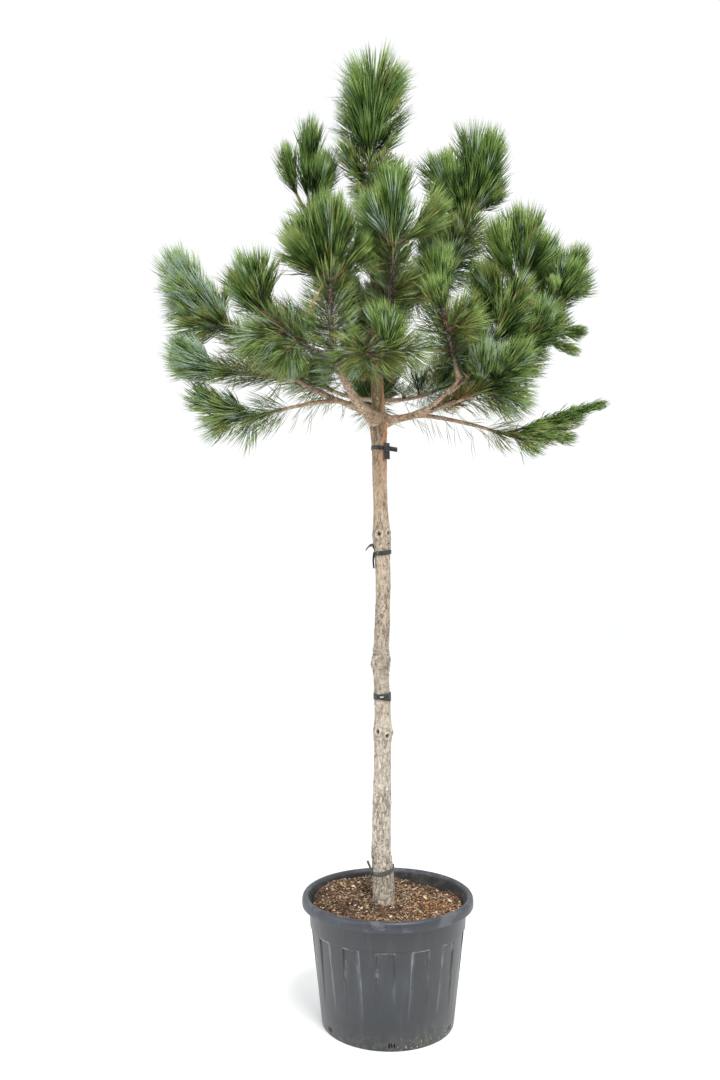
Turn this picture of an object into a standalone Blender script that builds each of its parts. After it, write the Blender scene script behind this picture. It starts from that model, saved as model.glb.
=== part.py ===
"""A standard Austrian pine, 3.5 m high, growing in a fluted nursery pot.

Metres, +Z up. The origin is the centre of the pot's flat underside, and the plant is
seen from -Y. A bearing is counted anticlockwise from +X as seen from above, so 0 is
right, 90 is the back, 180 is left and 270 is the front. A reach is a distance from
the pot's axis and a height is a distance from the floor.

The bare trunk carries its crown in whorls. Each bough is one tapering limb that
leaves the trunk or another bough. A mass of foliage starts at a bough's tip, or on
the trunk, with one stem: the stem bears a whorl of side shoots, and every shoot
carries sprays of needles, which are thin toothed blades.
"""
import math
import random
from collections import namedtuple

import bmesh
import bpy
import numpy as np
from mathutils import Matrix, Vector

GAP = 0.0003

# Pot: a turned body with a rolled lip, flutes cut into it and drain slots.
POT_HEIGHT = 0.435
POT_FOOT_RADIUS = 0.229
POT_SHOULDER = 0.328
POT_SHOULDER_RADIUS = 0.2675
COLLAR_RADIUS = 0.2715
LIP_UNDERSIDE = 0.400
LIP_RADIUS = 0.300
POT_WALL = 0.0085
POT_FLOOR = 0.009
POT_STEPS = 42
FLUTES = 14
FLUTE_TURN = math.radians(-93.3)
FLUTE_TOP = 0.325
FLUTE_FOOT = 0.095
FLUTE_WIDTH_TOP = 0.0605
FLUTE_WIDTH_FOOT = 0.0695
FLUTE_DEPTH = 0.0045
DRAINS = 6
DRAIN_TURN = math.radians(-88.6)
DRAIN_HEIGHT = 0.021
DRAIN_SLOT = (0.030, 0.0052, 0.014)
DRAIN_PITCH = 0.0082

# Soil: a plug that fills the pot and is heaped a little round the trunk.
SOIL_TOP = 0.394
SOIL_EDGE = 0.383
SOIL_STEPS = 21
SOIL_FLAT_RADIUS = 0.075

# Trunk: its line (height, x, y), its girth, and the swellings of its old whorls.
TRUNK_FOOT = SOIL_TOP + GAP
TRUNK_TIP = 3.04
TRUNK_LINE = ((0.39, -0.014, 0.0), (0.48, -0.014, 0.0), (0.57, -0.022, 0.0), (1.02, -0.016, 0.0),
              (1.25, -0.022, 0.0), (1.48, -0.014, 0.0), (2.08, -0.030, 0.0), (2.55, -0.040, 0.0),
              (3.04, -0.060, 0.0))
TRUNK_RADIUS = 0.0255
FLARE = 0.0150
FLARE_HEIGHT = 0.42
FIRST_WHORL = 2.11
CROWN_RADIUS = 0.0240
TRUNK_TIP_RADIUS = 0.0085
SWELLINGS = ((0.992, 0.0055, 0.035), (1.246, 0.0060, 0.040), (1.680, 0.0055, 0.060), (2.085, 0.0065, 0.055))
TRUNK_SIDES = 10
TRUNK_RINGS = 36

# Ties: a band round the trunk, the side its loose end points to, and its size.
Tie = namedtuple("Tie", "name height bearing width tail")
TIES = (
    Tie("tie_top", 2.006, 0, 0.018, 0.030),
    Tie("tie_upper", 1.630, 180, 0.014, 0.024),
    Tie("tie_lower", 1.118, 0, 0.020, 0.006),
    Tie("tie_foot", 0.508, 180, 0.017, 0.010),
)
TIE_THICKNESS = 0.0016
TIE_SLACK = 0.0008
TIE_STEPS = 12

# Boughs: what each leaves and where (a height on the trunk, a share of a bough's
# length), where it ends, how much of its reach it has covered at its elbow, and its
# radius at the root.
Limb = namedtuple("Limb", "name parent start reach bearing height elbow radius")
LIMBS = (
    Limb("bough_left_front", "trunk", 2.10, 0.31, 231, 2.53, 1.15, 0.0200),
    Limb("bough_left", "bough_left_front", 0.16, 0.54, 185, 2.40, 0.45, 0.0120),
    Limb("bough_left_low", "bough_left", 0.22, 0.44, 193, 2.11, 0.45, 0.0080),
    Limb("bough_left_outer", "bough_left", 0.55, 0.56, 194, 2.25, 0.40, 0.0070),
    Limb("bough_front_outer", "bough_left_front", 0.58, 0.46, 209, 2.41, 0.55, 0.0075),
    Limb("bough_front_inner", "bough_left_front", 0.57, 0.30, 264, 2.27, 0.70, 0.0065),
    Limb("bough_right", "trunk", 2.10, 0.33, 351, 2.20, 0.50, 0.0170),
    Limb("bough_right_low", "bough_right", 0.38, 0.40, 4, 2.07, 0.50, 0.0085),
    Limb("bough_right_fork", "bough_right", 0.36, 0.28, 340, 2.25, 0.50, 0.0100),
    Limb("bough_right_front", "bough_right_fork", 0.93, 0.32, 305, 2.41, 0.20, 0.0085),
    Limb("bough_right_up", "bough_right_fork", 0.68, 0.47, 354, 2.57, 0.55, 0.0085),
    Limb("bough_right_outer", "bough_right", 0.88, 0.50, 0, 2.34, 0.55, 0.0070),
    Limb("bough_right_edge", "bough_right_up", 0.45, 0.58, 2, 2.49, 0.60, 0.0065),
    Limb("bough_back_left", "trunk", 2.18, 0.44, 140, 2.36, 0.55, 0.0085),
    Limb("bough_back_right", "trunk", 2.18, 0.42, 50, 2.32, 0.55, 0.0085),
    Limb("bough_back", "trunk", 2.12, 0.48, 95, 2.34, 0.60, 0.0130),
    Limb("upper_left", "trunk", 2.52, 0.28, 170, 2.87, 0.70, 0.0095),
    Limb("upper_right", "trunk", 2.50, 0.30, 10, 2.84, 0.80, 0.0095),
    Limb("upper_front", "trunk", 2.36, 0.28, 273, 2.61, 0.80, 0.0100),
    Limb("upper_side", "trunk", 2.42, 0.38, 172, 2.50, 0.50, 0.0085),
    Limb("upper_back_left", "trunk", 2.56, 0.34, 130, 2.74, 0.60, 0.0085),
    Limb("upper_back_right", "trunk", 2.54, 0.36, 55, 2.72, 0.60, 0.0085),
)
ELBOW_LIFT = 0.2
LIMB_TIP_RADIUS = 0.0058
LIMB_SIDES = 6
LIMB_RINGS = 6

# Foliage: the limb whose tip a mass grows from (or the trunk, with the height), its
# leading shoot's length, bearing and lift from level, and the whorl of side shoots
# at its foot: how many, the roll of the first and their spread from the stem.
Mass = namedtuple("Mass", "name limb start length bearing lift whorl roll spread")
MASSES = (
    Mass("foliage_leader", "trunk", TRUNK_TIP, 0.32, 0, 87, 0, 0, 0),
    Mass("foliage_top_left", "upper_left", 1, 0.26, 180, 88, 3, 75, 30),
    Mass("foliage_top_right", "upper_right", 1, 0.27, 0, 83, 4, 90, 34),
    Mass("foliage_front", "upper_front", 1, 0.20, 270, 86, 4, 0, 44),
    Mass("foliage_left_front", "bough_left_front", 1, 0.20, 270, 84, 4, 10, 50),
    Mass("foliage_front_outer", "bough_front_outer", 1, 0.13, 224, 66, 3, 80, 42),
    Mass("foliage_left", "bough_left", 1, 0.27, 180, 50, 3, 100, 34),
    Mass("foliage_left_outer", "bough_left_outer", 1, 0.14, 186, 20, 2, 90, 38),
    Mass("foliage_left_low", "bough_left_low", 1, 0.18, 187, 8, 2, 200, 36),
    Mass("foliage_front_inner", "bough_front_inner", 1, 0.09, 280, 50, 3, 0, 55),
    Mass("foliage_right", "bough_right", 1, 0.17, 310, 26, 3, 0, 50),
    Mass("foliage_right_low", "bough_right_low", 1, 0.28, 4, 9, 2, 310, 28),
    Mass("foliage_right_front", "bough_right_front", 1, 0.19, 110, 82, 2, 100, 30),
    Mass("foliage_right_up", "bough_right_up", 1, 0.21, 38, 76, 4, 20, 42),
    Mass("foliage_right_outer", "bough_right_outer", 1, 0.17, 18, 42, 3, 60, 46),
    Mass("foliage_right_edge", "bough_right_edge", 1, 0.18, 10, 66, 3, 10, 40),
    Mass("foliage_side", "upper_side", 1, 0.15, 185, 45, 2, 30, 46),
    Mass("foliage_back_left", "bough_back_left", 1, 0.19, 135, 50, 3, 30, 42),
    Mass("foliage_back_right", "bough_back_right", 1, 0.19, 45, 48, 3, 30, 42),
    Mass("foliage_back", "bough_back", 1, 0.20, 92, 50, 3, 30, 45),
    Mass("foliage_upper_back_left", "upper_back_left", 1, 0.20, 120, 75, 3, 40, 38),
    Mass("foliage_upper_back_right", "upper_back_right", 1, 0.20, 60, 75, 3, 40, 38),
    Mass("foliage_collar_left", "trunk", 2.93, 0.15, 195, 60, 0, 0, 0),
    Mass("foliage_collar_back", "trunk", 2.90, 0.17, 75, 60, 1, 0, 40),
    Mass("foliage_collar_front", "trunk", 2.91, 0.15, 315, 64, 0, 0, 0),
    Mass("foliage_inner_right", "trunk", 2.46, 0.24, 355, 42, 1, 200, 40),
    Mass("foliage_inner_front", "trunk", 2.60, 0.16, 262, 42, 1, 170, 44),
    Mass("foliage_inner_back", "trunk", 2.40, 0.26, 100, 45, 2, 30, 42),
)
SEED = 41
WHORL_AT = 0.28
SIDE_LENGTH = 0.66
SIDE_TURN_UP = 0.35
STEM_POINTS = 4
STEM_NECK = 0.010
SIDE_POINTS = 3
STEM_RADIUS = 0.0068
STEM_TIP_RADIUS = 0.0035
TWIG_CLEARANCE = 0.035
FEWEST_SPRAYS = 2

# Needles: a spray is a thin fan of teeth that spring from one root, in a plane that
# holds the shoot. Every tooth is as long as its place allows.
NEEDLE = 0.160
LEADING_PITCH = 0.034
SIDE_PITCH = 0.055
FEWEST_ON_SHOOT = 3
FOOT_SHARE = 0.10
TEETH = 5
FEWEST_TEETH = 2
FAN = math.radians(60)
TOOTH_SIZES = (1.0, 0.86, 0.72, 0.58, 0.46)
NOTCH = 0.66
RIDGE_SHARES = (0.30, 0.24, 0.18, 0.12)
SPRAY_THICKNESS = 0.0050
SPRAY_SUNK = 0.0015
SPRAY_CLEARANCE = 0.005
WOOD_CLEARANCE = 0.009
TOOTH_SAMPLES = (0.25, 0.375, 0.5, 0.625, 0.75, 0.875, 1.0)
KIN_OVERLAP = 0.0
LEAN_FOOT = math.radians(58)
LEAN_TIP = math.radians(14)
GOLDEN_TURN = math.radians(137.5)

BARK = (0.36, 0.26, 0.18, 1.0)
BOUGH_BARK = (0.40, 0.25, 0.17, 1.0)
NEEDLE_GREEN = (0.07, 0.16, 0.06, 1.0)
POT_GREY = (0.075, 0.085, 0.095, 1.0)
MULCH = (0.20, 0.11, 0.07, 1.0)
TIE_BLACK = (0.02, 0.02, 0.022, 1.0)


# Scene, collections and materials

def clear_scene():
    for old in list(bpy.data.objects):
        bpy.data.objects.remove(old, do_unlink=True)
    for old in list(bpy.data.collections):
        bpy.data.collections.remove(old)


def new_collection(name):
    collection = bpy.data.collections.new(name)
    bpy.context.scene.collection.children.link(collection)
    return collection


def material(name, colour, roughness):
    made = bpy.data.materials.new(name)
    made.use_nodes = True
    made.diffuse_color = colour
    shader = made.node_tree.nodes["Principled BSDF"]
    shader.inputs["Base Color"].default_value = colour
    shader.inputs["Roughness"].default_value = roughness
    shader.inputs["Metallic"].default_value = 0.0
    return made


def link(name, mesh, collection, finish=None, smooth_below=None):
    thing = bpy.data.objects.new(name, mesh)
    collection.objects.link(thing)
    if finish:
        mesh.materials.append(finish)
    if smooth_below:
        mesh.shade_smooth()
        mesh.set_sharp_from_angle(angle=math.radians(smooth_below))
    return thing


def evaluated_mesh(thing):
    bpy.context.view_layer.update()
    graph = bpy.context.evaluated_depsgraph_get()
    return bpy.data.meshes.new_from_object(thing.evaluated_get(graph))


def apply_modifiers(thing):
    """The object keeps its name and takes the mesh that its modifiers give."""
    fresh = evaluated_mesh(thing)
    old = thing.data
    thing.modifiers.clear()
    thing.data = fresh
    bpy.data.meshes.remove(old)


def boolean(thing, operation, cutter=None, collection=None, solver="EXACT"):
    step = thing.modifiers.new(operation.title(), "BOOLEAN")
    step.operation = operation
    step.solver = solver
    if collection:
        step.operand_type = "COLLECTION"
        step.collection = collection
    else:
        step.object = cutter
    return step


def remove_all(things):
    for thing in list(things):
        mesh = thing.data
        bpy.data.objects.remove(thing, do_unlink=True)
        if mesh and mesh.users == 0:
            if isinstance(mesh, bpy.types.Mesh):
                bpy.data.meshes.remove(mesh)


# Lines in space

def unit(bearing, lift):
    """The unit vector at a bearing and a lift from level, both in degrees."""
    turn = math.radians(bearing)
    rise = math.radians(lift)
    return Vector((math.cos(turn) * math.cos(rise), math.sin(turn) * math.cos(rise), math.sin(rise)))


def spot(reach, bearing, height):
    flat = unit(bearing, 0) * reach
    return Vector((flat.x, flat.y, height))


def bend(start, control, end, count):
    """Points on the curve that leaves start towards control and comes into end from it."""
    points = []
    for i in range(count):
        t = i / (count - 1)
        points.append(start * (1 - t) ** 2 + control * (2 * t * (1 - t)) + end * t ** 2)
    return points


def along(points, share):
    """The point and the direction at a share of a line's number of stretches."""
    place = share * (len(points) - 1)
    i = min(int(place), len(points) - 2)
    return points[i].lerp(points[i + 1], place - i), (points[i + 1] - points[i]).normalized()


def distance(places, lines):
    """From each place to the nearest of the stretches in lines (start, end pairs)."""
    start, end = lines[:, 0], lines[:, 1]
    run = end - start
    t = np.einsum("pij,ij->pi", places[:, None] - start, run) / np.einsum("ij,ij->i", run, run)
    foot = start + np.clip(t, 0, 1)[:, :, None] * run
    return np.linalg.norm(places[:, None] - foot, axis=2)


def stretches(points):
    line = np.array([tuple(p) for p in points])
    return np.stack((line[:-1], line[1:]), axis=1)


def trunk_radius(height):
    """Girth: a flare that dies out upwards, swellings, and a taper inside the crown."""
    if height <= FIRST_WHORL:
        radius = TRUNK_RADIUS + FLARE * math.exp(-(height - TRUNK_FOOT) / FLARE_HEIGHT)
    else:
        share = (height - FIRST_WHORL) / (TRUNK_TIP - FIRST_WHORL)
        radius = CROWN_RADIUS + (TRUNK_TIP_RADIUS - CROWN_RADIUS) * share
    for middle, swell, spread in SWELLINGS:
        radius += swell * math.exp(-((height - middle) / spread) ** 2)
    return radius


def trunk_point(height):
    heights = [row[0] for row in TRUNK_LINE]
    x = np.interp(height, heights, [row[1] for row in TRUNK_LINE])
    y = np.interp(height, heights, [row[2] for row in TRUNK_LINE])
    return Vector((float(x), float(y), height))


def limb_line(limb, lines):
    if limb.parent == "trunk":
        root = trunk_point(limb.start)
    else:
        root = along(lines[limb.parent], limb.start)[0]
    end = spot(limb.reach, limb.bearing, limb.height)
    step = end - root
    elbow = root + Vector((step.x * limb.elbow, step.y * limb.elbow, step.z * ELBOW_LIFT))
    return bend(root, elbow, end, LIMB_RINGS)


def limb_radii(limb, extra=0.0):
    shares = [i / (LIMB_RINGS - 1) for i in range(LIMB_RINGS)]
    return [limb.radius + (LIMB_TIP_RADIUS - limb.radius) * t ** 0.8 + extra for t in shares]


Wood = namedtuple("Wood", "lines radii")


def all_wood(lines):
    """The trunk and every bough as stretches with their radii."""
    heights = [float(h) for h in trunk_heights()]
    found = [stretches([trunk_point(h) for h in heights])]
    radii = [trunk_radius(h) for h in heights[:-1]]
    for limb in LIMBS:
        found.append(stretches(lines[limb.name]))
        radii += limb_radii(limb)[:-1]
    return Wood(np.concatenate(found), np.array(radii))


# Tubes: a curve swept by a polygon, its radius set at every point

def polygon_profile(sides, collection):
    curve = bpy.data.curves.new(f"profile_{sides}", "CURVE")
    curve.dimensions = "2D"
    spline = curve.splines.new("POLY")
    spline.points.add(sides - 1)
    for i in range(sides):
        turn = 2 * math.pi * i / sides
        spline.points[i].co = (math.cos(turn), math.sin(turn), 0.0, 1.0)
    spline.use_cyclic_u = True
    profile = bpy.data.objects.new(f"profile_{sides}", curve)
    collection.objects.link(profile)
    profile.hide_render = True
    profile.display_type = "WIRE"
    return profile


def tube_mesh(points, radii, profile):
    """A closed tube along the points, welded at its caps."""
    curve = bpy.data.curves.new("sweep", "CURVE")
    curve.dimensions = "3D"
    curve.bevel_mode = "OBJECT"
    curve.bevel_object = profile
    curve.use_fill_caps = True
    spline = curve.splines.new("POLY")
    spline.points.add(len(points) - 1)
    for point, place, radius in zip(spline.points, points, radii):
        point.co = (*place, 1.0)
        point.radius = radius
    sweep = bpy.data.objects.new("sweep", curve)
    bpy.context.scene.collection.objects.link(sweep)
    mesh = evaluated_mesh(sweep)
    bpy.data.objects.remove(sweep, do_unlink=True)
    bpy.data.curves.remove(curve)
    shape = bmesh.new()
    shape.from_mesh(mesh)
    bmesh.ops.remove_doubles(shape, verts=shape.verts, dist=0.00002)
    bmesh.ops.recalc_face_normals(shape, faces=shape.faces)
    shape.to_mesh(mesh)
    shape.free()
    return mesh


# Pot and soil

def turned(name, profile, steps, collection, finish, smooth_below=40):
    """A profile of (radius, height) points, from the axis back to the axis, turned."""
    mesh = bpy.data.meshes.new(name)
    mesh.from_pydata([(r, 0, z) for r, z in profile], [(i, i + 1) for i in range(len(profile) - 1)], [])
    thing = link(name, mesh, collection)
    screw = thing.modifiers.new("Screw", "SCREW")
    screw.axis = "Z"
    screw.steps = steps
    screw.render_steps = steps
    screw.use_merge_vertices = True
    screw.merge_threshold = 0.00005
    apply_modifiers(thing)
    shape = bmesh.new()
    shape.from_mesh(thing.data)
    bmesh.ops.remove_doubles(shape, verts=shape.verts, dist=0.00005)
    bmesh.ops.recalc_face_normals(shape, faces=shape.faces)
    shape.to_mesh(thing.data)
    shape.free()
    thing.data.materials.append(finish)
    thing.data.shade_smooth()
    thing.data.set_sharp_from_angle(angle=math.radians(smooth_below))
    return thing


def wall_radius(height):
    """The pot's plain outer wall below the shoulder."""
    share = height / POT_SHOULDER
    return POT_FOOT_RADIUS + (POT_SHOULDER_RADIUS - POT_FOOT_RADIUS) * share


def flute_cutter(number, collection):
    """A wedge that is deepest under the shoulder and runs out above the foot."""
    mesh = bpy.data.meshes.new("flute")
    shape = bmesh.new()
    bmesh.ops.create_cube(shape, size=1.0)
    for vert in shape.verts:
        high = vert.co.z > 0
        height = FLUTE_TOP if high else FLUTE_FOOT
        floor_radius = wall_radius(height) - (FLUTE_DEPTH if high else -0.0006)
        width = FLUTE_WIDTH_TOP if high else FLUTE_WIDTH_FOOT
        vert.co.x = floor_radius + (0.03 if vert.co.x > 0 else 0.0)
        vert.co.y = width / 2 if vert.co.y > 0 else -width / 2
        vert.co.z = height
    shape.to_mesh(mesh)
    shape.free()
    cutter = link(f"flute_{number}", mesh, collection)
    cutter.rotation_euler.z = FLUTE_TURN + 2 * math.pi * number / FLUTES
    return cutter


def drain_cutter(group, slot, collection):
    mesh = bpy.data.meshes.new("drain")
    shape = bmesh.new()
    bmesh.ops.create_cube(shape, size=1.0, matrix=Matrix.Diagonal((*DRAIN_SLOT, 1.0)))
    shape.to_mesh(mesh)
    shape.free()
    cutter = link(f"drain_{group}_{slot}", mesh, collection)
    turn = DRAIN_TURN + 2 * math.pi * group / DRAINS
    offset = (slot - 1) * DRAIN_PITCH
    middle = POT_FOOT_RADIUS - POT_WALL / 2
    cutter.rotation_euler.z = turn
    cutter.location = Matrix.Rotation(turn, 3, "Z") @ Vector((middle, offset, DRAIN_HEIGHT))
    return cutter


def inner_profile():
    """The inside of the pot's wall, from under the lip down to the floor."""
    return ((COLLAR_RADIUS - 0.005, LIP_UNDERSIDE), (POT_FOOT_RADIUS - POT_WALL, POT_FLOOR))


def make_pot(collection, cutters, finish):
    inner_top, inner_foot = inner_profile()
    profile = (
        (0.0, 0.0),
        (POT_FOOT_RADIUS - 0.0025, 0.0),
        (POT_FOOT_RADIUS, 0.0035),
        (POT_SHOULDER_RADIUS, POT_SHOULDER),
        (COLLAR_RADIUS, POT_SHOULDER + 0.0035),
        (COLLAR_RADIUS + 0.0035, LIP_UNDERSIDE),
        (LIP_RADIUS - 0.001, LIP_UNDERSIDE + 0.001),
        (LIP_RADIUS, POT_HEIGHT - 0.016),
        (LIP_RADIUS - 0.012, POT_HEIGHT),
        (LIP_RADIUS - 0.0235, POT_HEIGHT - 0.009),
        inner_top,
        inner_foot,
        (0.0, POT_FLOOR),
    )
    pot = turned("pot", profile, POT_STEPS, collection, finish)
    for number in range(FLUTES):
        flute_cutter(number, cutters)
    for group in range(DRAINS):
        for slot in range(3):
            drain_cutter(group, slot, cutters)
    for cutter in cutters.objects:
        cutter.hide_render = True
        cutter.display_type = "WIRE"
    boolean(pot, "DIFFERENCE", collection=cutters)
    return pot


def make_soil(collection, finish):
    """The plug stands inside the flats of the pot's inner wall and on its floor."""
    inner_top, inner_foot = inner_profile()
    flat = math.cos(math.pi / POT_STEPS)
    share = (SOIL_EDGE - POT_FLOOR) / (LIP_UNDERSIDE - POT_FLOOR)
    top_radius = inner_foot[0] + (inner_top[0] - inner_foot[0]) * share
    profile = (
        (0.0, POT_FLOOR + GAP),
        (inner_foot[0] * flat - GAP, POT_FLOOR + GAP),
        (top_radius * flat - GAP, SOIL_EDGE),
        (top_radius * 0.62, SOIL_TOP - 0.003),
        (SOIL_FLAT_RADIUS, SOIL_TOP),
        (0.0, SOIL_TOP),
    )
    return turned("soil", profile, SOIL_STEPS, collection, finish)


# Trunk, ties and boughs

def trunk_heights():
    """Rings stand closer together at the foot and at the swellings."""
    count = TRUNK_RINGS
    fine = np.linspace(TRUNK_FOOT, TRUNK_TIP, 2000)
    need = np.ones_like(fine)
    for middle, _, spread in SWELLINGS:
        need += 4.0 * np.exp(-((fine - middle) / (1.3 * spread)) ** 2)
    need += 1.5 * np.exp(-(fine - TRUNK_FOOT) / 0.15)
    total = np.concatenate(([0.0], np.cumsum(need)[:-1]))
    return np.interp(np.linspace(0, total[-1], count), total, fine)


def trunk_mesh(profile, extra=0.0):
    heights = [float(h) for h in trunk_heights()]
    points = [trunk_point(h) for h in heights]
    radii = [trunk_radius(h) + extra for h in heights]
    return tube_mesh(points, radii, profile)


def make_tie(tie, collection, finish):
    """A band, its loose end standing out to one side and a flap hanging beside it."""
    half = tie.width / 2
    widest = max(trunk_radius(tie.height + half * k / 4) for k in range(-4, 5))
    centre = trunk_point(tie.height)
    inner = (widest + TIE_SLACK) / math.cos(math.pi / TIE_STEPS)
    outer = inner + TIE_THICKNESS
    profile = ((inner, -half), (outer, -half), (outer, half), (inner, half), (inner, -half))
    band = turned(tie.name, profile, TIE_STEPS, collection, finish)
    shape = bmesh.new()
    place = unit(tie.bearing, 0) * (outer - 0.0006 + tie.tail / 2)
    size = (tie.tail + 0.0004, 0.0022, tie.width * 0.72)
    matrix = Matrix.Translation(place) @ Matrix.Rotation(math.radians(tie.bearing), 4, "Z")
    bmesh.ops.create_cube(shape, size=1.0, matrix=matrix @ Matrix.Diagonal((*size, 1.0)))
    mesh = bpy.data.meshes.new("tail")
    shape.to_mesh(mesh)
    shape.free()
    tail = link("tail", mesh, collection)
    boolean(band, "UNION", cutter=tail)
    apply_modifiers(band)
    remove_all([tail])
    band.data.transform(Matrix.Translation(centre))
    return band


def make_limb(limb, lines, clearances, profile, collection, finish):
    """A tapering limb whose root hugs the trunk or bough that it leaves."""
    mesh = tube_mesh(lines[limb.name], limb_radii(limb), profile)
    thing = link(limb.name, mesh, collection, finish)
    boolean(thing, "DIFFERENCE", cutter=clearances[limb.parent])
    apply_modifiers(thing)
    keep_largest_body(thing.data)
    thing.data.shade_smooth()
    thing.data.set_sharp_from_angle(angle=math.radians(60))
    return thing


# Foliage: the seeded rule that shoots and sprays follow

def side_directions(stem_direction, mass, dice):
    """Evenly rolled round the stem, each a spread away from it."""
    level = unit(mass.bearing - 90, 0)
    upper = level.cross(stem_direction).normalized() * -1
    found = []
    for i in range(mass.whorl):
        roll = math.radians(mass.roll + 360 * i / mass.whorl + dice.uniform(-12, 12))
        spread = math.radians(mass.spread + dice.uniform(-5, 5))
        outward = level * math.cos(roll) + upper * math.sin(roll)
        found.append(stem_direction * math.cos(spread) + outward * math.sin(spread))
    return found


def mass_root(mass, lines):
    """Where the leading shoot starts and which way it sets off."""
    if mass.limb != "trunk":
        tip, heading = along(lines[mass.limb], 1)
        return tip + heading * GAP, heading
    direction = unit(mass.bearing, mass.lift)
    if mass.start == TRUNK_TIP:
        heading = (trunk_point(TRUNK_TIP) - trunk_point(TRUNK_TIP - 0.05)).normalized()
        return trunk_point(TRUNK_TIP) + heading * GAP, heading
    return trunk_point(mass.start), direction


def leading_shoot(mass, lines):
    """A stem that leaves its bough squarely, so that the two end faces stay apart."""
    root, heading = mass_root(mass, lines)
    neck = root + heading * STEM_NECK
    tip = root + unit(mass.bearing, mass.lift) * mass.length
    return [root, *bend(neck, neck + heading * (mass.length * 0.3), tip, STEM_POINTS)]


def side_shoots(mass, number, stem):
    """The whorl at the foot of the leading shoot, each shoot turning up as it grows."""
    dice = random.Random(SEED + number)
    start = along(stem, WHORL_AT)[0]
    found = []
    for side in side_directions(unit(mass.bearing, mass.lift), mass, dice):
        length = mass.length * SIDE_LENGTH * dice.uniform(0.85, 1.12)
        end = (side + Vector((0, 0, SIDE_TURN_UP))).normalized() * length
        found.append(bend(start, start + side * (length * 0.5), start + end, SIDE_POINTS))
    return found


def twig_fits(shoot, rivals, wood):
    """True if the outer half of a side shoot is clear of other masses and of wood."""
    places = np.array([tuple(along(shoot, share)[0]) for share in (0.4, 0.55, 0.7, 0.85, 1.0)])
    if (distance(places, rivals) < TWIG_CLEARANCE).any():
        return False
    return bool((distance(places, wood.lines) > wood.radii + WOOD_CLEARANCE).all())


def grow(lines, wood):
    """Every mass's shoots: the leading ones first, then the whorls that have room."""
    growth = {mass.name: [leading_shoot(mass, lines)] for mass in MASSES}
    for number, mass in enumerate(MASSES):
        rivals = np.concatenate([stretches(s) for s in rival_shoots(mass, growth)])
        for shoot in side_shoots(mass, number, growth[mass.name][0]):
            if twig_fits(shoot, rivals, wood):
                growth[mass.name].append(shoot)
    return growth


def rival_shoots(mass, growth):
    return [shoot for name, group in growth.items() if name != mass.name for shoot in group]


def tooth_fits(root, tip, space):
    """True if a tooth stays nearer its own shoot than any other and clear of wood."""
    places = np.array([tuple(root.lerp(tip, share)) for share in TOOTH_SAMPLES])
    mine = distance(places, space.own).min(axis=1)
    if (distance(places, space.rivals).min(axis=1) < mine + SPRAY_CLEARANCE).any():
        return False
    if (distance(places, space.kin).min(axis=1, initial=1.0) < mine - KIN_OVERLAP).any():
        return False
    return bool((distance(places, space.wood.lines) > space.wood.radii + WOOD_CLEARANCE).all())


def tooth_length(root, heading, space):
    for size in TOOTH_SIZES:
        if tooth_fits(root, root + heading * (NEEDLE * size), space):
            return NEEDLE * size
    return 0.0


def longest_run(lengths):
    """The first index and the one past the last of the longest run without a zero."""
    best, start = (0, 0), 0
    for i, length in enumerate([*lengths, 0.0]):
        if length == 0.0:
            if i - start > best[1] - best[0]:
                best = (start, i)
            start = i + 1
    return best


def fan_outline(turns, lengths):
    """Distances along and across for the pointed root, the teeth and their notches."""
    outline = [(-SPRAY_SUNK, 0.0)]
    for i, (turn, length) in enumerate(zip(turns, lengths)):
        if i:
            middle = (turn + turns[i - 1]) / 2
            reach = NOTCH * min(length, lengths[i - 1])
            outline.append((reach * math.cos(middle), reach * math.sin(middle)))
        outline.append((length * math.cos(turn), length * math.sin(turn)))
    return outline


def ridge_place(outline, turn, length):
    """A point of the fan that sees its whole outline, or None."""
    for share in RIDGE_SHARES:
        a, b = length * share * math.cos(turn), length * share * math.sin(turn)
        sides = []
        for (a0, b0), (a1, b1) in zip(outline, outline[1:] + outline[:1]):
            sides.append((a1 - a0) * (b - b0) - (b1 - b0) * (a - a0))
        if min(sides) > 0.0:
            return a, b
    return None


def spray_mesh(root, axis, outward, share, space, dice):
    """One fan: two skins of triangles from a ridge point to the toothed outline."""
    lean = LEAN_FOOT + (LEAN_TIP - LEAN_FOOT) * share ** 2
    heading = axis * math.cos(lean) + outward * math.sin(lean)
    side = outward * math.cos(lean) - axis * math.sin(lean)
    turns = [FAN * (i / (TEETH - 1) - 0.5) for i in range(TEETH)]
    lengths = []
    for turn in turns:
        tooth = heading * math.cos(turn) + side * math.sin(turn)
        lengths.append(tooth_length(root, tooth, space) * dice.uniform(0.9, 1.0))
    first, last = longest_run(lengths)
    if last - first < FEWEST_TEETH:
        return None
    turns, lengths = turns[first:last], lengths[first:last]
    middle = (turns[0] + turns[-1]) / 2
    outline = fan_outline(turns, lengths)
    ridge = ridge_place(outline, middle, min(lengths))
    if not ridge:
        lengths = [min(lengths)] * len(lengths)
        outline = fan_outline(turns, lengths)
        ridge = ridge_place(outline, middle, lengths[0])
    rim = [root + heading * a + side * b for a, b in outline]
    centre = root + heading * ridge[0] + side * ridge[1]
    across = heading.cross(side).normalized() * (SPRAY_THICKNESS / 2)
    count = len(rim)
    edges = [(i, (i + 1) % count) for i in range(count)]
    faces = [(a, b, count) for a, b in edges] + [(b, a, count + 1) for a, b in edges]
    mesh = bpy.data.meshes.new("spray")
    mesh.from_pydata(rim + [centre + across, centre - across], [], faces)
    return mesh


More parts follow.
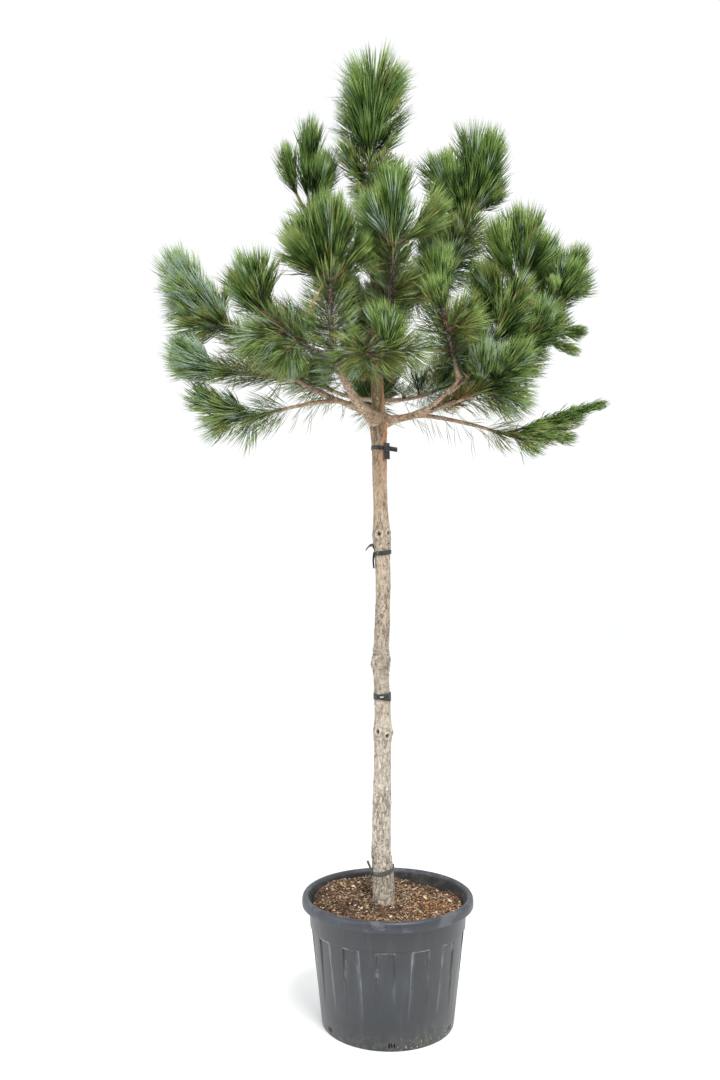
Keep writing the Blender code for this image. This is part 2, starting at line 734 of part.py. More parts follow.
def keep_largest_body(mesh):
    """Drops scraps and the skins of sealed hollows, so that one body is left."""
    shape = bmesh.new()
    shape.from_mesh(mesh)
    left = set(shape.verts)
    bodies = []
    while left:
        body, edge = set(), [left.pop()]
        while edge:
            vert = edge.pop()
            body.add(vert)
            for link_edge in vert.link_edges:
                other = link_edge.other_vert(vert)
                if other in left:
                    left.remove(other)
                    edge.append(other)
        bodies.append(body)
    bodies.sort(key=len)
    for body in bodies[:-1]:
        bmesh.ops.delete(shape, geom=list(body), context="VERTS")
    bmesh.ops.triangulate(shape, faces=shape.faces)
    shape.to_mesh(mesh)
    shape.free()


def sprays_on(shoot, pitch, space, dice):
    """Sprays wind round a shoot by the golden turn, the last one at its tip."""
    length = float(np.linalg.norm(space.own[:, 1] - space.own[:, 0], axis=1).sum())
    count = max(FEWEST_ON_SHOOT, round(length / pitch) + 1)
    level = (shoot[-1] - shoot[0]).orthogonal().normalized()
    first = dice.uniform(0, 2 * math.pi)
    made = []
    for k in range(count):
        share = FOOT_SHARE + (1 - FOOT_SHARE) * k / (count - 1)
        root, axis = along(shoot, min(share, 0.995))
        roll = first + GOLDEN_TURN * k + dice.uniform(-0.2, 0.2)
        outward = Matrix.Rotation(roll, 3, axis) @ level
        outward = (outward - axis * outward.dot(axis)).normalized()
        spray = spray_mesh(root, axis, outward, share, space, dice)
        if spray:
            made.append(spray)
    return made


Space = namedtuple("Space", "own rivals kin wood")


def make_mass(mass, number, growth, wood, profile, collection, finish):
    """One solid: the stems and the sprays that fit, joined by one union."""
    dice = random.Random(1000 * SEED + number)
    shoots = growth[mass.name]
    parts = new_collection(f"{mass.name}_parts")
    rivals = np.concatenate([stretches(s) for s in rival_shoots(mass, growth)])
    for shoot in shoots:
        kin = [stretches(s) for s in shoots if s is not shoot]
        kin = np.concatenate(kin) if kin else np.zeros((0, 2, 3))
        space = Space(stretches(shoot), rivals, kin, wood)
        leading = shoot is shoots[0]
        sprays = sprays_on(shoot, LEADING_PITCH if leading else SIDE_PITCH, space, dice)
        if len(sprays) < FEWEST_SPRAYS and not leading:
            continue
        foot = STEM_RADIUS if leading else STEM_RADIUS * 0.8
        radii = [float(r) for r in np.linspace(foot, STEM_TIP_RADIUS, len(shoot))]
        link("stem", tube_mesh(shoot, radii, profile), parts)
        for spray in sprays:
            link("spray", spray, parts)
    base = parts.objects["stem"]
    parts.objects.unlink(base)
    collection.objects.link(base)
    base.name = mass.name
    boolean(base, "UNION", collection=parts)
    apply_modifiers(base)
    remove_all(parts.objects)
    bpy.data.collections.remove(parts)
    keep_largest_body(base.data)
    base.data.materials.append(finish)
    return base


def main():
    clear_scene()
    tree = new_collection("austrian_pine")
    cutters = new_collection("cutters")
    bark = material("trunk_bark", BARK, 0.9)
    bough_bark = material("bough_bark", BOUGH_BARK, 0.85)
    needles = material("needles", NEEDLE_GREEN, 0.55)
    plastic = material("pot_plastic", POT_GREY, 0.45)
    mulch = material("mulch", MULCH, 0.95)
    band = material("tie_rubber", TIE_BLACK, 0.6)

    make_pot(tree, cutters, plastic)
    make_soil(tree, mulch)

    guides = new_collection("guides")
    trunk_profile = polygon_profile(TRUNK_SIDES, guides)
    limb_profile = polygon_profile(LIMB_SIDES, guides)
    twig_profile = polygon_profile(3, guides)

    link("trunk", trunk_mesh(trunk_profile), tree, bark, 50)
    for tie in TIES:
        make_tie(tie, tree, band)

    lines = {}
    clearances = {"trunk": link("trunk_clearance", trunk_mesh(trunk_profile, GAP), guides)}
    for limb in LIMBS:
        lines[limb.name] = limb_line(limb, lines)
        fat = tube_mesh(lines[limb.name], limb_radii(limb, GAP), limb_profile)
        clearances[limb.name] = link(f"{limb.name}_clearance", fat, guides)
    for limb in LIMBS:
        make_limb(limb, lines, clearances, limb_profile, tree, bough_bark)

    wood = all_wood(lines)
    growth = grow(lines, wood)
    for number, mass in enumerate(MASSES):
        made = make_mass(mass, number, growth, wood, twig_profile, tree, needles)
        if mass.limb == "trunk" and mass.start != TRUNK_TIP:
            boolean(made, "DIFFERENCE", cutter=clearances["trunk"])
            apply_modifiers(made)
            keep_largest_body(made.data)
    for guide in guides.objects:
        guide.hide_render = True
        guide.display_type = "WIRE"


main()
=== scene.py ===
# %% [markdown]
# # A potted Austrian pine
#
# The tree is about 3.5 m high: a bare trunk with four ties, boughs that carry long brushes
# of needles, and a fluted nursery pot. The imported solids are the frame, in metres with +Z
# up and -Y to the front. Every surface here is worked out as whole arrays and then put in
# a mesh. Boughs and shoots grow by the same seeded rule as the solids, only finer.

# %% The frame
import math
import random

import bpy
import numpy as np
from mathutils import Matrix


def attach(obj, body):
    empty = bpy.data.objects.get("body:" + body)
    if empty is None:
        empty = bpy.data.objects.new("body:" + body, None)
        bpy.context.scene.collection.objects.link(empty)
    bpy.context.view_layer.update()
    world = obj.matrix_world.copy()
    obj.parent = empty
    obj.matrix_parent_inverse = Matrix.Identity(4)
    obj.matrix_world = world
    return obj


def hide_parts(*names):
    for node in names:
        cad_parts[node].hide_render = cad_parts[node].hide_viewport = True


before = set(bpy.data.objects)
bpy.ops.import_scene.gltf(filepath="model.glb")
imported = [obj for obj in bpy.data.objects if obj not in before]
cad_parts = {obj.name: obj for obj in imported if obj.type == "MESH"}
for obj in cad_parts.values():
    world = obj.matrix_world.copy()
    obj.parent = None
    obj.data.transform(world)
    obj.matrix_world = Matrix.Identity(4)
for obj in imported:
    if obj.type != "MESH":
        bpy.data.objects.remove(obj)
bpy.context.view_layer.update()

# %% [markdown]
# ## From arrays to meshes
#
# Points and faces come as arrays, so that one call fills a mesh of any size. A piece is
# then tied to the body it moves with and given its materials, and the solids it stands
# for are hidden.

# %% Meshes and pieces
def build_mesh(name, points, face_sets, slots=None, smooth=True):
    """A mesh from an (n, 3) array of points and arrays of triangles or quads."""
    face_sets = [np.asarray(f) for f in face_sets if len(f)]
    corners = np.concatenate([f.ravel() for f in face_sets]).astype(np.int32)
    sizes = np.concatenate([np.full(len(f), f.shape[1]) for f in face_sets])
    starts = np.concatenate(([0], np.cumsum(sizes)[:-1])).astype(np.int32)
    mesh = bpy.data.meshes.new(name)
    mesh.vertices.add(len(points))
    mesh.vertices.foreach_set("co", np.asarray(points, np.float32).ravel())
    mesh.loops.add(len(corners))
    mesh.loops.foreach_set("vertex_index", corners)
    mesh.polygons.add(len(sizes))
    mesh.polygons.foreach_set("loop_start", starts)
    if slots is not None:
        mesh.polygons.foreach_set("material_index", np.asarray(slots, np.int32))
    mesh.update(calc_edges=True)
    mesh.validate()
    if smooth:
        mesh.shade_smooth()
    return mesh


def add_piece(mesh, materials, nodes=()):
    piece = bpy.data.objects.new(mesh.name, mesh)
    bpy.context.scene.collection.objects.link(piece)
    for finish in materials:
        mesh.materials.append(finish)
    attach(piece, "root")
    if nodes:
        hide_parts(*nodes)
    return piece


# %% [markdown]
# ## Noise for relief and colour
#
# Bark is rough at several sizes. Random numbers on a coarse lattice, eased between, give
# smooth noise, and the lattice closes round the trunk so that no seam shows.

# %% Lattice noise
def lattice_noise(u, v, across, along, seed):
    """Noise from -1 to 1: lattice values, eased by 3t^2 - 2t^3; u closes after 1."""
    table = np.random.default_rng(seed).uniform(-1, 1, (across, along + 2))
    x = np.mod(u, 1.0) * across
    y = np.clip(v, 0.0, 1.0) * along
    i = np.floor(x).astype(int)
    j = np.floor(y).astype(int)
    fx = x - i
    fy = y - j
    fx = fx * fx * (3 - 2 * fx)
    fy = fy * fy * (3 - 2 * fy)
    near, far = i % across, (i + 1) % across
    low = table[near, j] * (1 - fx) + table[far, j] * fx
    high = table[near, j + 1] * (1 - fx) + table[far, j + 1] * fx
    return low * (1 - fy) + high * fy


# %% [markdown]
# ## Shader sums as plain sums
#
# A material's pattern is easier to read as a sum than as a net of nodes. One small class
# wraps a socket, so that ordinary signs add the Math nodes, and one method adds any node.

# %% The shader class
class Flow:
    """A socket of one material; sums with other sockets or numbers add Math nodes."""

    def __init__(self, tree, socket):
        self.tree = tree
        self.socket = socket

    def math(self, operation, *values):
        made = self.tree.nodes.new("ShaderNodeMath")
        made.operation = operation
        for slot, value in zip(made.inputs, values):
            put(self.tree, slot, value)
        return Flow(self.tree, made.outputs[0])

    def __add__(self, other):
        return self.math("ADD", self, other)

    def __sub__(self, other):
        return self.math("SUBTRACT", self, other)

    def __rsub__(self, other):
        return self.math("SUBTRACT", other, self)

    def __mul__(self, other):
        return self.math("MULTIPLY", self, other)

    __radd__ = __add__
    __rmul__ = __mul__

    def between(self, low, high):
        """0 below low, 1 above high, eased between."""
        made = self.tree.nodes.new("ShaderNodeMapRange")
        made.interpolation_type = "SMOOTHSTEP"
        put(self.tree, made.inputs["Value"], self)
        made.inputs["From Min"].default_value = low
        made.inputs["From Max"].default_value = high
        return Flow(self.tree, made.outputs[0])


    def line(self, width):
        """1 where the value passes 0.5, falling to 0 within a width: a thin winding line."""
        away = (self - 0.5).math("ABSOLUTE", self - 0.5)
        return 1 - away.between(0.2 * width, width)


def put(tree, slot, value):
    if isinstance(value, Flow):
        tree.links.new(value.socket, slot)
    else:
        slot.default_value = value


class Finish:
    """A material with its Principled shader, and one method for every other node."""

    def __init__(self, name, colour, roughness, **sockets):
        self.material = bpy.data.materials.new(name)
        self.material.use_nodes = True
        self.material.diffuse_color = (*colour, 1.0)
        self.tree = self.material.node_tree
        self.shader = self.tree.nodes["Principled BSDF"]
        self.shader.inputs["Base Color"].default_value = (*colour, 1.0)
        self.shader.inputs["Roughness"].default_value = roughness
        for socket, value in sockets.items():
            self.shader.inputs[socket.replace("_", " ")].default_value = value

    def node(self, kind, settings=None, output=0, **inputs):
        made = self.tree.nodes.new(kind)
        for key, value in (settings or {}).items():
            if key == "stops":
                fill_ramp(made.color_ramp, value)
            else:
                setattr(made, key, value)
        for key, value in inputs.items():
            put(self.tree, made.inputs[key.replace("_", " ")], value)
        return Flow(self.tree, made.outputs[output])

    def place(self):
        return self.node("ShaderNodeTexCoord", output="Object")

    def noise(self, scale, detail=3.0, stretch=(1, 1, 1), rough=0.55):
        vector = self.node("ShaderNodeMapping", Vector=self.place(), Scale=stretch)
        return self.node("ShaderNodeTexNoise", Vector=vector, Scale=scale, Detail=detail,
                         Roughness=rough)

    def warped(self, scale, amount, stretch):
        """Object coordinates, stretched and then pushed about by noise."""
        push = self.node("ShaderNodeTexNoise", output="Color", Vector=self.place(), Scale=scale)
        push = self.node("ShaderNodeMapping", Vector=push, Scale=(amount, amount, amount))
        return self.node("ShaderNodeMapping", Vector=self.place(), Location=push, Scale=stretch)

    def cells(self, where, scale):
        """A random shade for each cell of scattered spots, and the distance to a cell's edge."""
        shade = self.node("ShaderNodeTexVoronoi", output="Color", Vector=where, Scale=scale)
        edge = self.node("ShaderNodeTexVoronoi", {"feature": "DISTANCE_TO_EDGE"},
                         output="Distance", Vector=where, Scale=scale)
        return shade, edge

    def mix(self, factor, first, second):
        made = self.tree.nodes.new("ShaderNodeMix")
        made.data_type = "RGBA"
        put(self.tree, made.inputs[0], factor)
        for slot, value in ((made.inputs[6], first), (made.inputs[7], second)):
            put(self.tree, slot, value if isinstance(value, Flow) else (*value, 1.0))
        return Flow(self.tree, made.outputs[2])

    def feed(self, socket, value):
        put(self.tree, self.shader.inputs[socket], value)

    def bump(self, height, strength, distance):
        made = self.tree.nodes.new("ShaderNodeBump")
        made.inputs["Strength"].default_value = strength
        made.inputs["Distance"].default_value = distance
        put(self.tree, made.inputs["Height"], height)
        self.tree.links.new(made.outputs[0], self.shader.inputs["Normal"])


def fill_ramp(ramp, stops):
    while len(ramp.elements) > 1:
        ramp.elements.remove(ramp.elements[-1])
    ramp.elements[0].position = stops[0][0]
    ramp.elements[0].color = (*stops[0][1], 1.0)
    for position, colour in stops[1:]:
        ramp.elements.new(position).color = (*colour, 1.0)


print("shader class ready")

# %% [markdown]
# ## Lines in space
#
# A bearing is counted anticlockwise from +X as seen from above, so 270 is the front. A
# reach is a distance from the pot's axis. Boughs and shoots are bends between two ends.

# %% Bends and distances
def unit(bearing, lift):
    """The unit vector at a bearing and a lift from level, both in degrees."""
    turn, rise = math.radians(bearing), math.radians(lift)
    flat = math.cos(rise)
    return np.array([math.cos(turn) * flat, math.sin(turn) * flat, math.sin(rise)])


def norm(vectors):
    return vectors / np.linalg.norm(vectors, axis=-1, keepdims=True)


def bend(start, control, end, count):
    """Points a(1-t)^2 + 2bt(1-t) + ct^2, which leave a towards b and reach c from b."""
    t = np.linspace(0, 1, count)[:, None]
    return start * (1 - t) ** 2 + control * (2 * t * (1 - t)) + end * t ** 2


def lengths_along(line):
    steps = np.linalg.norm(np.diff(line, axis=0), axis=1)
    return np.concatenate(([0.0], np.cumsum(steps)))


def sample(line, shares):
    """Points and directions at shares of a line's length."""
    run = lengths_along(line)
    at = np.asarray(shares) * run[-1]
    points = np.stack([np.interp(at, run, line[:, k]) for k in range(3)], axis=-1)
    slopes = norm(np.gradient(line, run, axis=0))
    ways = np.stack([np.interp(at, run, slopes[:, k]) for k in range(3)], axis=-1)
    return points, norm(ways)


def distance(places, lines):
    """From each place to each stretch of the lines, given as (start, end) pairs."""
    start, run = lines[:, 0], lines[:, 1] - lines[:, 0]
    t = np.einsum("pij,ij->pi", places[:, None] - start, run) / np.einsum("ij,ij->i", run, run)
    foot = start + np.clip(t, 0, 1)[:, :, None] * run
    return np.linalg.norm(places[:, None] - foot, axis=2)


def stretches(line):
    return np.stack((line[:-1], line[1:]), axis=1)


# %% [markdown]
# ## The trunk's line and girth
#
# The trunk leans a little to and fro, flares at the foot, swells at its old whorls, and
# thins quickly inside the crown.

# %% Trunk sizes
GAP = 0.0003
SOIL_TOP = 0.394
TRUNK_FOOT = SOIL_TOP + GAP
TRUNK_TIP = 3.04
TRUNK_LINE = ((0.39, -0.014), (0.48, -0.014), (0.57, -0.022), (1.02, -0.016), (1.25, -0.022),
              (1.48, -0.014), (2.08, -0.030), (2.55, -0.040), (3.04, -0.060))
TRUNK_RADIUS = 0.0255
FLARE = 0.0150
FLARE_HEIGHT = 0.42
FIRST_WHORL = 2.11
CROWN_RADIUS = 0.0240
TRUNK_TIP_RADIUS = 0.0085
SWELLINGS = ((0.992, 0.0055, 0.035), (1.246, 0.0060, 0.040), (1.680, 0.0055, 0.060),
             (2.085, 0.0065, 0.055))


def trunk_radius(height):
    """A flare that dies out upwards, the swellings, and a taper inside the crown."""
    height = np.asarray(height, float)
    low = TRUNK_RADIUS + FLARE * np.exp(-(height - TRUNK_FOOT) / FLARE_HEIGHT)
    share = (height - FIRST_WHORL) / (TRUNK_TIP - FIRST_WHORL)
    high = CROWN_RADIUS + (TRUNK_TIP_RADIUS - CROWN_RADIUS) * share
    radius = np.where(height <= FIRST_WHORL, low, high)
    for middle, swell, spread in SWELLINGS:
        radius = radius + swell * np.exp(-((height - middle) / spread) ** 2)
    return radius


def trunk_points(heights):
    heights = np.atleast_1d(np.asarray(heights, float))
    x = np.interp(heights, [row[0] for row in TRUNK_LINE], [row[1] for row in TRUNK_LINE])
    return np.stack((x, np.zeros_like(heights), heights), axis=1)


def trunk_point(height):
    return trunk_points(height)[0]


print("girth at a metre, in millimetres:", round(2000 * float(trunk_radius(1.0)), 1))

# %% [markdown]
# ## The boughs
#
# Each row names what a bough leaves and where, then its end as a reach, a bearing and a
# height, how much of its reach it has covered at its elbow, and its radius at the root.

# %% Bough table
LIMBS = (
    ("bough_left_front", "trunk", 2.10, 0.31, 231, 2.53, 1.15, 0.0200),
    ("bough_left", "bough_left_front", 0.16, 0.54, 185, 2.40, 0.45, 0.0120),
    ("bough_left_low", "bough_left", 0.22, 0.44, 193, 2.11, 0.45, 0.0080),
    ("bough_left_outer", "bough_left", 0.55, 0.56, 194, 2.25, 0.40, 0.0070),
    ("bough_front_outer", "bough_left_front", 0.58, 0.46, 209, 2.41, 0.55, 0.0075),
    ("bough_front_inner", "bough_left_front", 0.57, 0.30, 264, 2.27, 0.70, 0.0065),
    ("bough_right", "trunk", 2.10, 0.33, 351, 2.20, 0.50, 0.0170),
    ("bough_right_low", "bough_right", 0.38, 0.40, 4, 2.07, 0.50, 0.0085),
    ("bough_right_fork", "bough_right", 0.36, 0.28, 340, 2.25, 0.50, 0.0100),
    ("bough_right_front", "bough_right_fork", 0.93, 0.32, 305, 2.41, 0.20, 0.0085),
    ("bough_right_up", "bough_right_fork", 0.68, 0.47, 354, 2.57, 0.55, 0.0085),
    ("bough_right_outer", "bough_right", 0.88, 0.50, 0, 2.34, 0.55, 0.0070),
    ("bough_right_edge", "bough_right_up", 0.45, 0.58, 2, 2.49, 0.60, 0.0065),
    ("bough_back_left", "trunk", 2.18, 0.44, 140, 2.36, 0.55, 0.0085),
    ("bough_back_right", "trunk", 2.18, 0.42, 50, 2.32, 0.55, 0.0085),
    ("bough_back", "trunk", 2.12, 0.48, 95, 2.34, 0.60, 0.0130),
    ("upper_left", "trunk", 2.52, 0.28, 170, 2.87, 0.70, 0.0095),
    ("upper_right", "trunk", 2.50, 0.30, 10, 2.84, 0.80, 0.0095),
    ("upper_front", "trunk", 2.36, 0.28, 273, 2.61, 0.80, 0.0100),
    ("upper_side", "trunk", 2.42, 0.38, 172, 2.50, 0.50, 0.0085),
    ("upper_back_left", "trunk", 2.56, 0.34, 130, 2.74, 0.60, 0.0085),
    ("upper_back_right", "trunk", 2.54, 0.36, 55, 2.72, 0.60, 0.0085),
)
ELBOW_LIFT = 0.2
LIMB_TIP_RADIUS = 0.0058
LIMB_STEPS = 26


def limb_line(root, reach, bearing, height, elbow):
    """The bough sets off level to its elbow and then climbs to its end."""
    end = unit(bearing, 0) * reach + np.array([0, 0, height])
    step = end - root
    control = root + step * np.array([elbow, elbow, ELBOW_LIFT])
    return bend(root, control, end, LIMB_STEPS)


def limb_radii(radius):
    shares = np.linspace(0, 1, LIMB_STEPS)
    return radius + (LIMB_TIP_RADIUS - radius) * shares ** 0.8


lines = {}
radii = {}
for name, parent, start, reach, bearing, height, elbow, radius in LIMBS:
    if parent == "trunk":
        root = trunk_point(start)
    else:
        place = start * (LIMB_STEPS - 1)
        i = min(int(place), LIMB_STEPS - 2)
        root = lines[parent][i] * (1 - place + i) + lines[parent][i + 1] * (place - i)
    lines[name] = limb_line(root, reach, bearing, height, elbow)
    radii[name] = limb_radii(radius)
print("boughs:", len(lines))

# %% Everything wooden that needles keep clear of
wood_heights = np.linspace(TRUNK_FOOT, TRUNK_TIP, 40)
wood_lines = [stretches(trunk_points(wood_heights))]
wood_radii = [trunk_radius(wood_heights)[:-1]]
for name in lines:
    wood_lines.append(stretches(lines[name][::3]))
    wood_radii.append(radii[name][::3][:len(wood_lines[-1])])
wood_lines = np.concatenate(wood_lines)
wood_radii = np.concatenate(wood_radii)
print("stretches of wood:", len(wood_lines))

# %% [markdown]
# ## The shoots
#
# A mass of foliage is one leading shoot and a whorl of side shoots at its foot. Each row
# gives the bough it ends, the start on it, the length, bearing and lift of the leading
# shoot, the number, roll and spread of the side shoots, and the tone of its needles.

# %% Shoot table
MASSES = (
    ("leader", "trunk", TRUNK_TIP, 0.32, 0, 87, 0, 0, 0, "leader"),
    ("top_left", "upper_left", 1, 0.26, 180, 88, 3, 75, 30, "top"),
    ("top_right", "upper_right", 1, 0.27, 0, 83, 4, 90, 34, "top"),
    ("front", "upper_front", 1, 0.20, 270, 86, 4, 0, 44, "fresh"),
    ("left_front", "bough_left_front", 1, 0.20, 270, 84, 4, 10, 50, "fresh"),
    ("front_outer", "bough_front_outer", 1, 0.13, 224, 66, 3, 80, 42, "deep"),
    ("left", "bough_left", 1, 0.27, 180, 50, 3, 100, 34, "blue"),
    ("left_outer", "bough_left_outer", 1, 0.14, 186, 20, 2, 90, 38, "blue"),
    ("left_low", "bough_left_low", 1, 0.18, 187, 8, 2, 200, 36, "soft"),
    ("front_inner", "bough_front_inner", 1, 0.09, 280, 50, 3, 0, 55, "fresh"),
    ("right", "bough_right", 1, 0.17, 310, 26, 3, 0, 50, "cool"),
    ("right_low", "bough_right_low", 1, 0.28, 4, 9, 2, 310, 28, "soft"),
    ("right_front", "bough_right_front", 1, 0.19, 110, 82, 2, 100, 30, "fresh"),
    ("right_up", "bough_right_up", 1, 0.21, 38, 76, 4, 20, 42, "deep"),
    ("right_outer", "bough_right_outer", 1, 0.17, 18, 42, 3, 60, 46, "fresh"),
    ("right_edge", "bough_right_edge", 1, 0.18, 10, 66, 3, 10, 40, "fresh"),
    ("side", "upper_side", 1, 0.15, 185, 45, 2, 30, 46, "deep"),
    ("back_left", "bough_back_left", 1, 0.19, 135, 50, 3, 30, 42, "fresh"),
    ("back_right", "bough_back_right", 1, 0.19, 45, 48, 3, 30, 42, "deep"),
    ("back", "bough_back", 1, 0.20, 92, 50, 3, 30, 45, "deep"),
    ("upper_back_left", "upper_back_left", 1, 0.20, 120, 75, 3, 40, 38, "fresh"),
    ("upper_back_right", "upper_back_right", 1, 0.20, 60, 75, 3, 40, 38, "fresh"),
    ("collar_left", "trunk", 2.93, 0.15, 195, 60, 0, 0, 0, "core"),
    ("collar_back", "trunk", 2.90, 0.17, 75, 60, 1, 0, 40, "core"),
    ("collar_front", "trunk", 2.91, 0.15, 315, 64, 0, 0, 0, "core"),
    ("inner_right", "trunk", 2.46, 0.24, 355, 42, 1, 200, 40, "core"),
    ("inner_front", "trunk", 2.60, 0.16, 262, 42, 1, 170, 44, "core"),
    ("inner_back", "trunk", 2.40, 0.26, 100, 45, 2, 30, 42, "core"),
)
SEED = 41
WHORL_AT = 0.28
SIDE_LENGTH = 0.66
SIDE_TURN_UP = 0.35
STEM_NECK = 0.010
TWIG_CLEARANCE = 0.035
WOOD_CLEARANCE = 0.009


def mass_root(limb, start, bearing, lift):
    """Where a leading shoot starts and which way it sets off."""
    if limb != "trunk":
        tip = lines[limb][-1]
        return tip, norm(tip - lines[limb][-2])
    if start == TRUNK_TIP:
        return trunk_point(TRUNK_TIP), norm(trunk_point(TRUNK_TIP) - trunk_point(TRUNK_TIP - 0.05))
    return trunk_point(start), unit(bearing, lift)


def side_directions(ahead, bearing, whorl, roll, spread, dice):
    """Evenly rolled round the stem, each a spread away from it."""
    level = unit(bearing - 90, 0)
    upper = -norm(np.cross(level, ahead))
    found = []
    for i in range(whorl):
        turn = math.radians(roll + 360 * i / whorl + dice.uniform(-12, 12))
        open_by = math.radians(spread + dice.uniform(-5, 5))
        outward = level * math.cos(turn) + upper * math.sin(turn)
        found.append(ahead * math.cos(open_by) + outward * math.sin(open_by))
    return found


def twig_fits(shoot, rivals):
    places, _ = sample(shoot, (0.4, 0.55, 0.7, 0.85, 1.0))
    if (distance(places, rivals) < TWIG_CLEARANCE).any():
        return False
    return bool((distance(places, wood_lines) > wood_radii + WOOD_CLEARANCE).all())


# %% Growing them
BETWEEN_SPREAD = 0.62
BETWEEN_LENGTH = 0.86
OPEN = {
    ("top_left", 0), ("top_left", 1), ("top_right", 0), ("top_right", 3), ("left", 1),
    ("left", 2), ("left_low", 0), ("left_outer", 1), ("front_outer", 1), ("front", 0),
    ("front", 1), ("front", 2), ("left_front", 0), ("left_front", 1), ("left_front", 2),
    ("front_inner", 0), ("front_inner", 1), ("right_low", 0), ("right_up", 0), ("right_up", 3),
    ("right_outer", 0), ("right", 1), ("right_front", 0), ("right_front", 1), ("side", 1),
}
LEADING = {
    "leader": (48, 62, 0.00, 1.20), "top_left": (14, 20, 0.22, 1.00),
    "top_right": (28, 44, 0.05, 1.06), "front": (24, 28, 0.05, 1.00),
    "left_front": (17, 22, 0.08, 0.96), "front_outer": (34, 34, 0.05, 0.95),
    "left": (27, 25, 0.05, 0.90), "left_outer": (30, 26, 0.05, 0.88),
    "left_low": (30, 26, 0.10, 0.82), "front_inner": (22, 24, 0.08, 0.80),
    "right": (30, 30, 0.05, 0.92), "right_low": (15, 16, 0.30, 0.52),
    "right_front": (19, 21, 0.08, 0.78), "right_up": (22, 32, 0.10, 1.00),
    "right_outer": (22, 22, 0.10, 0.68), "right_edge": (26, 27, 0.10, 0.88),
    "collar_left": (26, 26, 0.25, 0.66), "collar_front": (50, 44, 0.00, 0.42),
    "collar_back": (50, 44, 0.00, 0.45),
}
OTHER_LEADING = (30, 30, 0.10, 0.95)
SIDE_BRUSH = (22, 22, 0.18, 0.82)
BACK = ("back", "upper_back", "inner_back")
growth, brushes = {}, {}
for mass, limb, start, length, bearing, lift, whorl, roll, spread, tone in MASSES:
    root, heading = mass_root(limb, start, bearing, lift)
    neck = root + heading * STEM_NECK
    tip = root + unit(bearing, lift) * length
    shoot = bend(neck, neck + heading * (length * 0.3), tip, 16)
    growth[mass] = [np.concatenate((root[None], shoot))]
    brushes[mass] = [(*LEADING.get(mass, OTHER_LEADING), 0.0, tone)]
for number, (mass, limb, start, length, bearing, lift, whorl, roll, spread, tone) in enumerate(MASSES):
    rivals = [stretches(s) for key in growth for s in growth[key] if key != mass]
    rivals = np.concatenate(rivals)
    dice = random.Random(SEED + number)
    coarse = growth[mass][0]
    foot = sample(coarse, [0.13])[0][0]
    ahead = unit(bearing, lift)
    for i, side in enumerate(side_directions(ahead, bearing, whorl, roll, spread, dice)):
        reach = length * SIDE_LENGTH * dice.uniform(0.85, 1.12)
        end = norm(side + np.array([0, 0, SIDE_TURN_UP])) * reach
        shoot = bend(foot, foot + side * (reach * 0.5), foot + end, 12)
        if twig_fits(shoot, rivals) and (mass, i) not in OPEN:
            growth[mass].append(shoot)
            brushes[mass].append((*SIDE_BRUSH, 0.02, tone))
    if whorl and mass.startswith(BACK):
        dice = random.Random(SEED + 300 + number)
        for side in side_directions(ahead, bearing, whorl, roll + 180 / whorl,
                                    spread * BETWEEN_SPREAD, dice):
            reach = length * BETWEEN_LENGTH * dice.uniform(0.80, 1.02)
            end = norm(side + np.array([0, 0, SIDE_TURN_UP * 0.5])) * reach
            shoot = bend(foot, foot + side * (reach * 0.5), foot + end, 12)
            if twig_fits(shoot, rivals):
                growth[mass].append(shoot)
                brushes[mass].append((*SIDE_BRUSH, 0.02, tone))
print("shoots by rule:", sum(len(group) for group in growth.values()))

# %% [markdown]
# ## Finer shoots
#
# The photograph shows which whorls have more shoots and which way these point. Each row
# gives the mass, the start as a share of its bough and leading shoot together, then the
# length, bearing and lift. The rest is the brush on it: the lean of the needles at its foot
# and at its tip, the share from which it is clad, the needles' length, their droop and tone.
# A shoot that rises sets off flatter and then climbs.

